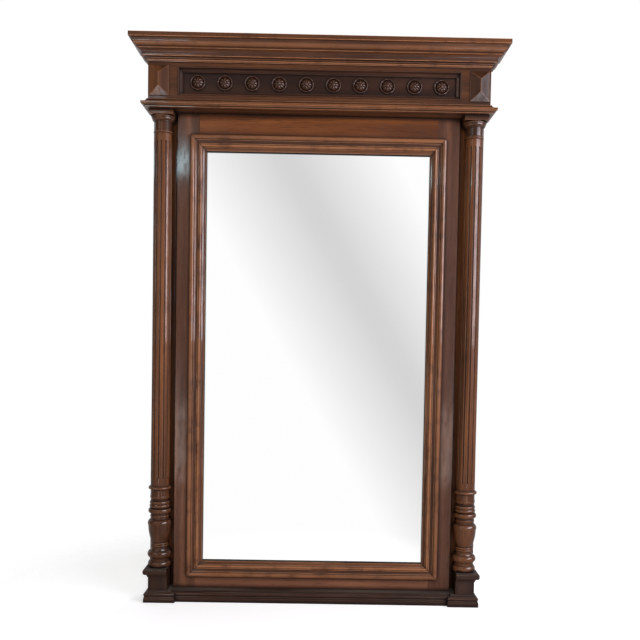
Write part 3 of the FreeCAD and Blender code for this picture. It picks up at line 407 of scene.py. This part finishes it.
def skinned(book, rows):
    # Faces from each row of points to the next, all the way round; a row of one point is a tip.
    faces = []
    for first, second in zip(rows, rows[1:]):
        count = max(len(first), len(second))
        for step in range(count):
            after = (step + 1) % count
            corners = (first[step % len(first)], second[step % len(second)],
                       second[after % len(second)], first[after % len(first)])
            faces.append(book.faces.new(tuple(dict.fromkeys(corners))))
    return faces


def softened(node, arris, material, slot, body="mirror"):
    # A copy of a sawn piece with its arrises eased by hand.
    book = bmesh.new()
    book.from_mesh(nodes[node].data)
    bmesh.ops.remove_doubles(book, verts=book.verts, dist=making["weld"])
    bmesh.ops.dissolve_limit(book, angle_limit=math.radians(making["flatAngle"]), verts=book.verts,
                             edges=book.edges)
    limit = math.radians(making["keenAngle"])
    keen = [line for line in book.edges if len(line.link_faces) == 2 and line.calc_face_angle(0.0) > limit]
    bmesh.ops.bevel(book, geom=keen, offset=arris, segments=making["arrisSegments"], profile=0.5,
                    affect="EDGES", clamp_overlap=True)
    return addPiece(node + "_piece", meshFrom(node, book), material, slot, node, body)


def arcPoints(start, finish, bow):
    # Points between two corners on an arc; the bow is the tangent of a quarter of its angle.
    chord = finish - start
    middle = (start + finish) / 2
    side = Vector((-chord.y, chord.x)) * ((1 - bow * bow) / (4 * bow))
    centre = middle + side
    turn = 4 * math.atan(bow)
    steps = max(3, int(abs(turn) / math.radians(making["arcStep"])))
    arm = start - centre
    found = []
    for step in range(1, steps):
        angle = turn * step / steps
        found.append(centre + Vector((arm.x * math.cos(angle) - arm.y * math.sin(angle),
                                      arm.x * math.sin(angle) + arm.y * math.cos(angle))))
    return found


def section(shares, across, up, ease):
    # A closed outline in metres from its table of shares, with arcs drawn and keen corners eased.
    turn = 1 if across * up > 0 else -1
    corners = [Vector((item[0] * across, item[1] * up)) for item in shares]
    points = []
    for place, item in enumerate(shares):
        points.append(corners[place])
        if len(item) > 2:
            points += arcPoints(corners[place], corners[(place + 1) % len(corners)], item[2] * turn)
    eased = []
    count = len(points)
    for place in range(count):
        before, here, after = points[place - 1], points[place], points[(place + 1) % count]
        back, ahead = before - here, after - here
        shortest = min(back.length, ahead.length)
        if shortest < making["tiny"]:
            continue
        if math.pi - back.angle(ahead) < math.radians(making["softAngle"]):
            eased.append(here)
            continue
        near = min(ease, shortest * making["easeShare"])
        first = here + back.normalized() * near
        last = here + ahead.normalized() * near
        eased += [first, first * 0.25 + here * 0.5 + last * 0.25, last]
    return eased


def swept(name, outline, run, start, finish, mitre, rings=None):
    # The outline carried along X. Its points are (y, z); the mitre says which of them sets the slant.
    gap = making["mitreGap"]
    rings = rings or max(2, int(run / making["ringSpacing"]))
    dirtShare = making["mitreDirt"] / run
    shares = [0.0, dirtShare] + [ring / rings for ring in range(1, rings)] + [1 - dirtShare, 1.0]
    book = bmesh.new()
    dirt = book.faces.layers.float.new("mitre")
    rows = []
    for share in shares:
        row = []
        for point in outline:
            reach = mitre(point)
            low = {"square": 0.0, "outer": -reach + gap, "inner": reach + gap}[start]
            high = run + {"square": 0.0, "outer": reach - gap, "inner": -reach - gap}[finish]
            row.append(book.verts.new((low + (high - low) * share, point.x, point.y)))
        rows.append(row)
    mitred = [number for number, end in ((0, start), (len(rows) - 2, finish)) if end != "square"]
    for number, face in enumerate(skinned(book, rows)):
        face[dirt] = float(number // len(outline) in mitred)
    book.faces.new(rows[0])
    book.faces.new(list(reversed(rows[-1])))
    return meshFrom(name, book)


def placed(mesh, spot, axis=None, turn=0.0):
    spin = Matrix.Rotation(math.radians(turn), 4, axis) if axis else Matrix.Identity(4)
    mesh.transform(Matrix.Translation(spot) @ spin)
    return mesh


def joined(name, meshes):
    book = bmesh.new()
    for mesh in meshes:
        book.from_mesh(mesh)
    whole = bpy.data.meshes.new(name)
    book.to_mesh(whole)
    book.free()
    return whole


def outward(point):                          # lengths that stand out from a wall mitre by that reach
    return -point.x


def upward(point):                           # lengths round an opening mitre by their width
    return point.y


def lengthsRound(name, outline, corners, cuts, level, rings=None):
    # One length from each corner to the next; each cut says how the lengths are sawn at its corner.
    lengths = []
    for (fromX, fromY), (toX, toY), start, finish in zip(corners, corners[1:], cuts, cuts[1:]):
        mesh = swept(name, outline, abs(toX - fromX) + abs(toY - fromY), start, finish, outward, rings)
        turn = math.degrees(math.atan2(toY - fromY, toX - fromX))
        lengths.append(placed(mesh, (fromX, fromY, level), "Z", turn))
    return lengths


# Cornices

crown = {
    "shares": ((0, 0), (0.06, 0), (0.06, 0.03, 0.55), (0.08, 0.125), (0.11, 0.135, -0.4), (0.24, 0.185),
               (0.31, 0.185), (0.31, 0.25, -0.32), (0.54, 0.445), (0.58, 0.445), (0.58, 0.52),
               (0.60, 0.52, 0.36), (0.81, 0.70), (0.81, 0.715, -0.4), (0.95, 0.81), (1, 0.81), (1, 1),
               (0, 1)),
    "ease": 0.0009,
}
architrave = {
    "shares": ((0, 0), (0.46, 0), (0.46, 0.125), (0.5, 0.15, 0.3), (0.9, 0.31), (1, 0.31), (1, 0.555),
               (0.94, 0.57, -0.3), (0.2, 0.93), (0.2, 1), (0, 1)),
    "ease": 0.0007,
}


def makeCornice(label, values):
    low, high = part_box(label + "_front")
    reach = high.y - low.y
    outline = section(values["shares"], -reach, high.z - low.z, values["ease"])
    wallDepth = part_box(label + "_return_left")[1].y
    left, right = low.x + reach, high.x - reach
    corners = ((left, wallDepth), (left, high.y), (right, high.y), (right, wallDepth))
    cuts = ("square", "outer", "outer", "square")
    leftReturn, front, rightReturn = lengthsRound(label, outline, corners, cuts, low.z)
    for name, mesh, grain, ending in (("FrontLength", front, "x", "_front"),
                                      ("LeftReturn", leftReturn, "y", "_return_left"),
                                      ("RightReturn", rightReturn, "y", "_return_right")):
        addPiece(label + name, mesh, wood("moulding", grain), "walnut_moulding", label + ending)


makeCornice("crown", crown)
makeCornice("architrave", architrave)
print("cornices made")


# Mouldings round the mirror and round the sunken panel

bolection = {
    "shares": ((0, 0), (0.46, 0, 0.75), (0.83, 0.27), (0.64, 0.285), (0.64, 0.325, -0.3), (0.43, 0.54),
               (0.57, 0.54), (0.57, 0.57), (0.5, 0.585, 0.8), (0.5, 0.765), (0.36, 0.775),
               (0.36, 0.795, -0.2), (0.07, 0.97), (0.03, 1)),
    "rise": 0.014, "lap": 0.0245, "lip": 0.01, "ease": 0.0008,
}
recess = {
    "shares": ((0, 0), (1, 0), (1, 0.02, 0.5), (1, 0.24, -0.35), (0.34, 0.74), (0.3, 0.8, 0.6),
               (0.28, 1), (0, 1)),
    "rise": 0.016, "width": 0.013, "ease": 0.0006,
}


def fourLengths(outline, left, right, bottom, top, y):
    across, up = right - left, top - bottom
    places = {"bottom": (across, (left, y, bottom), 0), "right": (up, (right, y, bottom), -90),
              "top": (across, (right, y, top), 180), "left": (up, (left, y, top), 90)}
    return {side: placed(swept(side, outline, run, "inner", "inner", upward), spot, "Y", turn)
            for side, (run, spot, turn) in places.items()}


def makeBolection(values):
    low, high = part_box("mirror_moulding_bottom")
    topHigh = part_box("mirror_moulding_top")[1]
    width = high.z - low.z
    lip = values["lip"]
    outline = section(values["shares"], -values["rise"], width, values["ease"])
    outline += [Vector((lip, width)), Vector((lip, values["lap"])), Vector((0.0, values["lap"]))]
    face = high.y - lip
    lengths = fourLengths(outline, low.x, high.x, low.z, topHigh.z, face)
    for side, mesh in lengths.items():
        grain = "x" if side in ("top", "bottom") else "z"
        addPiece("mirrorMoulding_" + side, mesh, wood("moulding", grain), "walnut_moulding",
                 "mirror_moulding_" + side)


def makeRecess(values):
    low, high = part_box("recess_moulding_long")
    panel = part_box("frieze_panel")[0].y
    outline = section(values["shares"], -values["rise"], values["width"], values["ease"])
    lengths = fourLengths(outline, low.x, high.x, low.z, high.z, panel)
    addPiece("recessLong", joined("recessLong", [lengths["bottom"], lengths["top"]]), wood("recess", "x"),
             "walnut_moulding", "recess_moulding_long")
    addPiece("recessShort", joined("recessShort", [lengths["left"], lengths["right"]]), wood("recess", "z"),
             "walnut_moulding", "recess_moulding_short")


makeBolection(bolection)
makeRecess(recess)
print("frame mouldings made")


# Base and plinth mouldings

baseProfile = {
    "shares": ((0, 0), (1, 0), (1, 0.35), (0.88, 0.38), (0.88, 0.5), (0.74, 0.545), (0.74, 0.575, 0.6),
               (0.74, 0.83), (0.55, 0.85, -0.35), (0.08, 0.98), (0.08, 1), (0, 1)),
    "ease": 0.0008, "rings": 3,
}
capProfile = {
    "shares": ((0, 0), (0.16, 0), (0.16, 0.07, -0.35), (0.68, 0.35), (0.82, 0.35), (0.82, 0.42, 0.25),
               (1, 0.62), (1, 0.82, 0.35), (0.72, 1), (0, 1)),
    "ease": 0.0008, "rings": 3,
}


def makePlinthMouldings(base, cap):
    low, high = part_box("base_moulding_centre")
    outline = section(base["shares"], low.y - high.y, high.z - low.z, base["ease"])
    inner = high.x
    middle = lengthsRound("base", outline, ((-inner, high.y), (inner, high.y)), ("inner", "inner"), 0)[0]
    addPiece("baseMouldingCentre", middle, wood("dark", "x"), "walnut_moulding", "base_moulding_centre")
    capLow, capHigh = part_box("cap_moulding_left")
    blockLow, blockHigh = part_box("plinth_block_left")
    capOutline = section(cap["shares"], capLow.x - blockLow.x, capHigh.z - capLow.z, cap["ease"])
    corners = [(blockLow.x, blockHigh.y), (blockLow.x, blockLow.y), (-inner, blockLow.y), (-inner, high.y)]
    capCorners = corners[:2] + [(capHigh.x, blockLow.y)]
    cuts = ("square", "outer", "outer", "inner")
    for side in ("left", "right"):
        meshes = lengthsRound("base", outline, corners, cuts, 0, base["rings"])
        addPiece("baseMoulding_" + side, joined("baseMoulding", meshes), wood("dark", "x"),
                 "walnut_moulding", "base_moulding_" + side)
        meshes = lengthsRound("cap", capOutline, capCorners, ("square", "outer", "square"), capLow.z,
                              cap["rings"])
        addPiece("capMoulding_" + side, joined("capMoulding", meshes), wood("dark", "x"),
                 "walnut_moulding", "cap_moulding_" + side)
        corners, capCorners = ([(-x, y) for x, y in reversed(path)] for path in (corners, capCorners))
        cuts = cuts[::-1]


makePlinthMouldings(baseProfile, capProfile)
print("base mouldings made")


# Columns

foot = {
    "shares": ((0, 0), (0.86, 0), (0.86, 0.006, 0.385), (0.86, 0.076), (0.8, 0.082), (0.8, 0.09, -0.25),
               (0.84, 0.124), (0.88, 0.127, 0.45), (0.88, 0.2), (0.76, 0.205, -0.2), (0.68, 0.252),
               (0.69, 0.256, 0.6), (0.69, 0.279), (0.675, 0.281, 0.6), (0.675, 0.304),
               (0.645, 0.308, 0.1), (0.96, 0.52, 0.4), (0.79, 0.592), (0.76, 0.596), (0.76, 0.618),
               (0.79, 0.62), (0.79, 0.64), (0.75, 0.645), (0.75, 0.668), (0.91, 0.674, 0.28),
               (0.91, 0.718), (0.78, 0.73), (0.8, 0.733, 0.4), (0.8, 0.775), (0.79, 0.778, 0.4),
               (0.79, 0.815), (0.7, 0.82), (0.7, 0.836), (0.745, 0.84, 0.3), (0.79, 0.885),
               (0.775, 0.95), (0.785, 0.958), (0.9, 0.963, 0.5), (0.9, 0.995), (0.83, 1), (0, 1)),
    "radius": 0.0355, "ease": 0.0008,
}
capital = {
    "shares": ((0, 0), (0.73, 0), (0.74, 0.02, 0.75), (0.74, 0.145), (0.75, 0.15), (0.75, 0.18),
               (0.726, 0.19), (0.726, 0.665), (0.786, 0.672), (0.786, 0.705, 0.35), (0.93, 0.855),
               (0.945, 0.86), (0.945, 0.89), (0.955, 0.895, 0.6), (0.955, 0.99), (0.9, 1), (0, 1)),
    "radius": 0.035, "ease": 0.0007,
}
shaft = {                                    # the offsets are degrees from the middle of a flute
    "bottom": 0.0278, "top": 0.0254, "flutes": 12, "fluteRadius": 0.0026, "fluteDepth": 0.0024,
    "lowMargin": 0.024, "highMargin": 0.022, "arris": 0.0004, "land": 0.006,
    "endSteps": 10, "endShare": 1.15, "middleSteps": 40, "middleShare": 1.2,
    "offsets": (-15, -11, -7.6, -6.2, -5.3, -4.6, -3.6, -2.3, -1.1, 0, 1.1, 2.3, 3.6, 4.6, 5.3, 6.2, 7.6, 11),
}


def lathed(name, outline):
    book = bmesh.new()
    count = making["turnedSegments"]
    rows = []
    for point in outline:
        if point.x < making["weld"]:
            rows.append([book.verts.new((0, 0, point.y))])
            continue
        turns = (2 * math.pi * step / count for step in range(count))
        rows.append([book.verts.new((point.x * math.cos(turn), point.x * math.sin(turn), point.y))
                     for turn in turns])
    skinned(book, rows)
    return meshFrom(name, book)


def fluted(name, values, length):
    # Rings of points whose radius dips into each flute; the dips shrink to a round end.
    flutes, hollow = values["flutes"], values["fluteRadius"]
    sink = hollow - values["fluteDepth"]
    lowEnd, highEnd = values["lowMargin"], length - values["highMargin"]
    arris, land = values["arris"], values["land"]
    turns = [step / values["endSteps"] * math.pi / 2 for step in range(values["endSteps"] + 1)]
    end, margin = hollow * values["endShare"], hollow * values["middleShare"]
    plain = highEnd - lowEnd - margin * 2
    steps = values["middleSteps"]
    heights = [0.0, arris, lowEnd - land]
    heights += [lowEnd + end * (1 - math.cos(turn)) for turn in turns]
    heights += [lowEnd + margin + plain * step / steps for step in range(steps + 1)]
    heights += [highEnd - end * math.cos(turn) for turn in turns]
    heights += [highEnd + land, length - arris, length]
    heights = sorted(set(round(height, 7) for height in heights))
    book = bmesh.new()
    rows = []
    for height in heights:
        base = values["bottom"] + (values["top"] - values["bottom"]) * height / length
        if height in (heights[0], heights[-1]):
            base -= arris
        depth = min(height - lowEnd, highEnd - height)
        wide = 0.0
        if depth > 0:
            wide = hollow if depth >= hollow else math.sqrt(hollow ** 2 - (hollow - depth) ** 2)
        row = []
        for flute in range(flutes):
            for offset in values["offsets"]:
                angle = math.radians(offset)
                centre = base + sink
                half = centre * math.sin(angle)
                radius = base
                if wide > abs(half):
                    dip = centre * math.cos(angle) - math.sqrt(wide ** 2 - half ** 2)
                    radius = min(base, dip)
                turn = math.radians(-90 + 360 / flutes * flute + offset)
                row.append(book.verts.new((radius * math.cos(turn), radius * math.sin(turn), height)))
        rows.append(row)
    skinned(book, rows)
    book.faces.new(list(reversed(rows[0])))
    book.faces.new(rows[-1])
    return meshFrom(name, book)


def turned(name, values, height):
    return lathed(name, section(values["shares"], values["radius"], height, values["ease"]))


def makeColumn(label):
    low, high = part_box("column_shaft_" + label)
    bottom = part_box("column_foot_" + label)[0].z
    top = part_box("column_capital_" + label)[1].z
    centre = (low + high) / 2
    for name, mesh, level, kind in (
            ("Foot", turned("foot", foot, low.z - bottom), bottom, "turned"),
            ("Shaft", fluted("shaft", shaft, high.z - low.z), low.z, "walnut"),
            ("Capital", turned("capital", capital, top - high.z), high.z, "turned")):
        addPiece("column" + name + "_" + label, placed(mesh, (centre.x, centre.y, level)), wood(kind, "z"),
                 "walnut_turned", "column_" + name.lower() + "_" + label)


for label in ("left", "right"):
    makeColumn(label)
print("columns made")


# Carved rosettes

rosette = {                                  # shares are of the radius, heights are shares of the rise
    "count": 10, "petals": 8, "radius": 0.0225, "rise": 0.012, "rings": 44, "spokes": 128, "turn": 0.39,
    "eyeShare": 0.205, "rootShare": 0.235, "tipShare": 0.73, "rimShare": 0.81, "edgeShare": 0.97,
    "ditchHeight": 0.08, "rimHeight": 0.34, "eyeHeight": 0.8, "petalRise": 0.8, "leafLift": 0.1,
    "leafWave": 0.5, "cup": 0.035, "domeTurn": 0.47, "domeBlunt": 0.6,
    "creaseDepth": 0.0016, "creaseWidth": 0.0011, "creaseFade": 3.0,
    "extraShares": (0.2, 0.21, 0.235, 0.245, 0.735, 0.785, 0.975),
    "twist": 0.7, "twistStep": 2.3, "wobble": 0.012, "wobbleScale": 1.4, "wobbleStep": 3.1,
    "wobbleTurn": 3, "wobbleRise": 0.8, "wobbleFade": 8,
}


def rosetteHeight(share, angle, values, twist):
    root, tip, rim, edge = (values[key] for key in ("rootShare", "tipShare", "rimShare", "edgeShare"))
    ditch, rimHeight, eyeHeight = (values[key] for key in ("ditchHeight", "rimHeight", "eyeHeight"))
    petals = values["petals"]
    if share > edge:
        return rimHeight * (1 - share) / (1 - edge)
    if share > rim:                          # rim of leaf, its tips lifted between the petals
        lift = values["leafLift"] * (1 + values["leafWave"] * math.cos(petals * angle + twist))
        return rimHeight + lift * math.sin((share - rim) / (edge - rim) * math.pi)
    if share > tip:
        return ditch + (rimHeight - ditch) * (share - tip) / (rim - tip)
    if share > root:                         # petals, domed and parted by creases
        climb = (tip - share) / (tip - root)
        dome = math.sin(climb * math.pi * values["domeTurn"]) ** values["domeBlunt"]
        part = 2 * math.pi / petals
        away = abs((angle / part + 0.5) % 1 - 0.5) * part * share * values["radius"]
        crease = math.exp(-(away / values["creaseWidth"]) ** 2) * values["creaseDepth"] / values["rise"]
        cup = values["cup"] * math.cos(petals * angle) * math.sin(climb * math.pi)
        crease *= math.sin(min(1.0, climb * values["creaseFade"]) * math.pi / 2)
        return ditch + values["petalRise"] * dome - crease - cup
    bead = math.sqrt(max(0.0, 1 - (share / values["eyeShare"]) ** 2))
    return eyeHeight + (1 - eyeHeight) * bead


def rosetteMesh(values, number):
    book = bmesh.new()
    twist = values["twist"] * math.sin(number * values["twistStep"])
    shares = sorted({step / values["rings"] for step in range(1, values["rings"] + 1)}
                    | set(values["extraShares"]))
    rows = [[book.verts.new((0, -values["rise"], 0))]]
    for share in shares:
        row = []
        for spoke in range(values["spokes"]):
            angle = 2 * math.pi * spoke / values["spokes"]
            around = Vector((math.cos(angle), math.sin(angle), 0)) * values["wobbleScale"]
            around.z = number * values["wobbleStep"]
            wobble = values["wobble"] * noise.noise(around)
            height = rosetteHeight(share, angle + wobble * values["wobbleTurn"], values, twist)
            height += wobble * values["wobbleRise"] * min(1.0, (1 - share) * values["wobbleFade"])
            radius, turn = values["radius"] * share, angle + values["turn"]
            row.append(book.verts.new((radius * math.cos(turn), -values["rise"] * max(0.0, min(1.0, height)),
                                       radius * math.sin(turn))))
        rows.append(row)
    skinned(book, rows)
    book.faces.new(rows[-1])
    return meshFrom("rosette", book)


def makeRosettes(values):
    low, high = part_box("frieze_rosettes")
    pitch = (high.x - low.x - values["radius"] * 2) / (values["count"] - 1)
    level = (low.z + high.z) / 2
    meshes = [placed(rosetteMesh(values, number),
                     (low.x + values["radius"] + pitch * number, high.y, level))
              for number in range(values["count"])]
    addPiece("friezeRosettes", joined("rosettes", meshes), wood("carved", "x"), "walnut_carved",
             "frieze_rosettes", smooth=making["carvedSmoothAngle"])


makeRosettes(rosette)
print("rosettes carved")


# Boards, blocks and rails with eased arrises

alone, pair = ("",), ("_left", "_right")
boards = {                                   # name endings, timber, grain, slot and eased arris
    "post": (pair, "frieze", "z", "walnut_board", 0.0007),
    "frame_stile": (pair, "stile", "z", "walnut_frame", 0.0008),
    "frame_rail_top": (alone, "rail", "x", "walnut_frame", 0.0008),
    "frame_rail_bottom": (alone, "stile", "x", "walnut_frame", 0.0008),
    "base_rail": (alone, "dark", "x", "walnut_board", 0.0007),
    "plinth_block": (pair, "dark", "z", "walnut_board", 0.0008),
    "abacus": (pair, "walnut", "x", "walnut_board", 0.0008),
    "frieze_board": (alone, "frieze", "x", "walnut_board", 0.0006),
    "frieze_panel": (alone, "dark", "x", "walnut_carved", 0.0004),
    "frieze_side": (pair, "frieze", "y", "walnut_board", 0.0007),
    "soffit_board": (alone, "walnut", "x", "walnut_board", 0.0006),
    "top_board": (alone, "back", "x", "back_wood", 0.0007),
    "glue_blocks": (alone, "back", "x", "back_wood", 0.0008),
    "glass_blocks": (alone, "back", "z", "back_wood", 0.0006),
    "back_board": (("_1", "_2", "_3"), "back", "z", "back_wood", 0.0008),
    "back_battens": (alone, "back", "x", "back_wood", 0.0009),
    "diamond_block": (pair, "frieze", "z", "walnut_carved", 0.0009),
}
hardware = {"buttonArris": 0.0007, "plateArris": 0.0003, "screwArris": 0.0002}
for name, (endings, kind, grain, slot, arris) in boards.items():
    for ending in endings:
        softened(name + ending, arris, wood(kind, grain), slot)
for corner in ("lower_left", "upper_left", "lower_right", "upper_right"):
    softened("turn_button_" + corner, hardware["buttonArris"], wood("button", "x"), "button_wood",
             "button_" + corner)
for label in ("left", "right"):
    softened("hanging_plate_" + label, hardware["plateArris"], plateSteel, "steel")
for node in ("plate_screws", "pivot_screws", "batten_screws"):
    softened(node, hardware["screwArris"], screwSteel, "screw_steel")
print("boards eased")


# Mirror plate

def makePlate(values):
    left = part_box("mirror_moulding_left")[1].x
    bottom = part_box("mirror_moulding_bottom")[1].z
    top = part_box("mirror_moulding_top")[0].z
    material = silvered(values, Vector((left, 0, bottom)), Vector((-left, 0, top)))
    return softened("mirror_glass", values["arris"], material, "mirror_plate")


plate = makePlate(plateValues)
print("mirror plate made")


# Stage, light and camera

stage = {
    "radius": 3.0, "segments": 96, "drop": 0.0005,
    "fadeRange": (0.7, 1.15), "mirroredFadeRange": (0.0, 0.9),
    "colour": (0.8, 0.8, 0.795), "mottleColour": (0.76, 0.76, 0.75), "mottles": (3.0, 3.0), "mottle": 0.15,
    "rough": 0.6, "mottleRough": 0.1, "specular": 0.2, "inGloss": (0.3, 0.28, 0.27), "glow": 0.45,
}


def makeFloor(values):
    book = bmesh.new()
    bmesh.ops.create_circle(book, cap_ends=True, segments=values["segments"], radius=values["radius"])
    mesh = meshFrom("floor", book)
    floor = bpy.data.objects.new("floor", mesh)
    bpy.context.scene.collection.objects.link(floor)
    floor.location.z = -values["drop"]
    material, shader = freshMaterial("paleFloor")
    place = shader.node("ShaderNodeTexCoord", None, None, "Object")
    reach = shader.node("ShaderNodeVectorMath", {"operation": "LENGTH"}, {0: place}, "Value")
    mottle = shader.noise(place, *values["mottles"])
    colour = shader.mix(mottle * values["mottle"], values["colour"], values["mottleColour"])
    mirrored = shader.ray("Is Singular Ray")                  # what the mirror plate shows
    glossy = shader.ray("Is Glossy Ray") * (1.0 - mirrored)   # what the polish shows
    colour = shader.mix(glossy, colour, values["inGloss"])
    glow = shader.mix(shader.ray("Is Camera Ray").maths("MAXIMUM", mirrored), (0, 0, 0), (1, 1, 1))
    surface = shader.node("ShaderNodeBsdfPrincipled", None,
                          {"Base Color": colour,
                           "Roughness": values["rough"] + mottle * values["mottleRough"],
                           "Specular IOR Level": values["specular"], "Emission Color": glow,
                           "Emission Strength": values["glow"]})
    clear = shader.node("ShaderNodeBsdfTransparent")
    start, end = (mirrored * (inMirror - plain) + plain
                  for plain, inMirror in zip(values["fadeRange"], values["mirroredFadeRange"]))
    fade = reach.between(start, end)
    mixed = shader.node("ShaderNodeMixShader", None, {0: fade, 1: surface, 2: clear})
    shader.node("ShaderNodeOutputMaterial", None, {"Surface": mixed})
    mesh.materials.append(material)


makeFloor(stage)

room = {                                     # what stands in front of the mirror, by direction
    "dome": ((0.32, 0.33, 0.35), (0.03, 0.03, 0.03)), "domeRange": (-0.28, 0.0),
    "behind": (0.5, 0.51, 0.52), "behindRange": (0.05, 0.45), "frontRange": (0.4, 0.5),
    "leastFront": 0.05, "slope": 1.74, "centre": 0.165,
    "band": ((0.0, (0.672,) * 3), (0.025, (0.678,) * 3), (0.08, (0.75,) * 3), (0.14, (0.828,) * 3),
             (0.2, (0.913,) * 3), (0.26, (1.0,) * 3)),
    "sideReach": 0.2, "topReach": 0.3, "lowReach": 0.36, "fade": 0.02, "inGloss": 0.3,
}


def makeWorld(values):
    world = bpy.data.worlds.new("studio")
    bpy.context.scene.world = world
    world.use_nodes = True
    shader = Shader(world.node_tree)
    way = shader.node("ShaderNodeTexCoord", None, None, "Generated")
    x, y, z = (shader.parts(way, axis) for axis in "XYZ")
    toFront = y * -1.0
    front = toFront.maths("MAXIMUM", values["leastFront"])
    side, rise = x / front, z / front
    away = (rise + side * values["slope"] - values["centre"]).maths("ABSOLUTE")
    band = shader.node("ShaderNodeValToRGB", {"stops": values["band"]}, {"Fac": away}, "Color")
    fade = values["fade"]
    inside = ((1.0 - side.maths("ABSOLUTE").between(values["sideReach"], values["sideReach"] + fade))
              * (1.0 - rise.between(values["topReach"], values["topReach"] + fade))
              * (1.0 - (rise * -1.0).between(values["lowReach"], values["lowReach"] + fade))
              * toFront.between(*values["frontRange"]))
    inside = inside * (shader.ray("Is Singular Ray") * (1.0 - values["inGloss"]) + values["inGloss"])
    low, high = values["dome"]
    dome = shader.mix(z.between(*values["domeRange"]), low, high)
    dome = shader.mix(y.between(*values["behindRange"]), dome, values["behind"])
    colour = shader.mix(inside, dome, band)
    colour = shader.mix(shader.ray("Is Camera Ray"), colour, (1, 1, 1))
    light = shader.node("ShaderNodeBackground", None, {"Color": colour, "Strength": 1.0})
    shader.node("ShaderNodeOutputWorld", None, {"Surface": light})


makeWorld(room)

lamps = {                                    # place, aim, width, height, watts, colour, seen in gloss
    "key": ((0.2, -1.9, 3.4), (0.0, 0.0, 1.0), 1.8, 0.8, 8, (1.0, 0.95, 0.88), True),
    "front": ((0.0, -2.2, 0.55), (0.0, 0.0, 1.1), 0.7, 0.5, 38, (1.0, 0.96, 0.91), False),
    "rightWindow": ((2.2, -1.55, 1.45), (0.2, 0.0, 1.1), 2.4, 1.3, 88, (0.96, 0.91, 1.0), True),
    "rightSky": ((2.8, -0.9, 2.55), (0.4, 0.0, 1.4), 0.8, 0.6, 3, (0.75, 0.85, 1.0), True),
    "leftWindow": ((-1.04, -2.5, 1.93), (-1.04, 0.0, 1.93), 0.52, 0.17, 4.2, (0.6, 0.9, 1.0), True),
    "leftTransom": ((-1.05, -2.45, 2.21), (-1.05, 0.0, 2.21), 0.2, 0.16, 0.5, (0.85, 0.93, 1.0), True),
    "lowRight": ((0.78, -1.2, 0.6), (0.46, -0.08, 1.5), 0.24, 0.26, 0.8, (0.82, 0.92, 1.0), True),
    "lowLeft": ((-0.79, -1.2, 0.6), (-0.46, -0.08, 1.5), 0.24, 0.26, 0.8, (0.82, 0.92, 1.0), True),
    "doorRight": ((0.73, -1.95, 0.22), (0.73, 0.0, 0.22), 0.2, 0.44, 0.7, (1.0, 0.93, 0.88), True),
    "doorLeft": ((-0.73, -1.95, 0.22), (-0.73, 0.0, 0.22), 0.2, 0.44, 0.8, (1.0, 0.93, 0.88), True),
    "highWindow": ((-2.1, -1.9, 2.7), (0.0, 0.0, 1.1), 0.6, 0.7, 10, (0.88, 0.94, 1.0), True),
    "rear": ((1.3, 2.5, 2.3), (0.0, 0.0, 0.9), 1.2, 1.2, 36, (1.0, 0.98, 0.95), False),
    "leftFill": ((-2.6, -2.1, 1.2), (0.0, 0.0, 0.9), 1.2, 2.2, 6, (1.0, 0.93, 0.86), True),
}


def makeLamps(values):
    allButPlate = bpy.data.collections.new("allButPlate")    # the plate would show lamps as white panels
    allButPlate.objects.link(plate)
    allButPlate.collection_objects[0].light_linking.link_state = "EXCLUDE"
    for name, (spot, aim, width, height, power, colour, inGloss) in values.items():
        data = bpy.data.lights.new(name, "AREA")
        data.shape, data.size, data.size_y = "RECTANGLE", width, height
        data.energy, data.color = power, colour
        lamp = bpy.data.objects.new(name, data)
        bpy.context.scene.collection.objects.link(lamp)
        lamp.location = spot
        lamp.rotation_euler = (Vector(aim) - Vector(spot)).to_track_quat("-Z", "Y").to_euler()
        lamp.visible_glossy = inGloss
        lamp.visible_camera = False
        lamp.light_linking.receiver_collection = allButPlate


makeLamps(lamps)

camera = {                                   # angles in degrees, sensor in millimetres
    "spot": (0.0156, -2.1992, 0.7668), "lens": 41.62, "sensor": 36, "down": 2.149, "right": 0.476,
    "roll": 1.02, "shiftX": -0.0098, "shiftY": 0.0869,
}


def makeCamera(values):
    pitch, yaw, roll = (math.radians(values[key]) for key in ("down", "right", "roll"))
    ahead = Vector((math.cos(pitch) * math.sin(yaw), math.cos(pitch) * math.cos(yaw), -math.sin(pitch)))
    level = Vector((math.cos(yaw), -math.sin(yaw), 0))
    upright = level.cross(ahead)
    across = level * math.cos(roll) + upright * math.sin(roll)
    up = upright * math.cos(roll) - level * math.sin(roll)
    data = bpy.data.cameras.new("camera")
    data.lens, data.sensor_width = values["lens"], values["sensor"]
    data.shift_x, data.shift_y = values["shiftX"], values["shiftY"]
    eye = bpy.data.objects.new("camera", data)
    bpy.context.scene.collection.objects.link(eye)
    turn = Matrix((across, up, -ahead)).transposed().to_4x4()
    eye.matrix_world = Matrix.Translation(values["spot"]) @ turn
    bpy.context.scene.camera = eye


makeCamera(camera)
bpy.context.scene.view_settings.view_transform = "Standard"
bpy.context.scene.view_settings.look = "None"
print("stage, light and camera set")
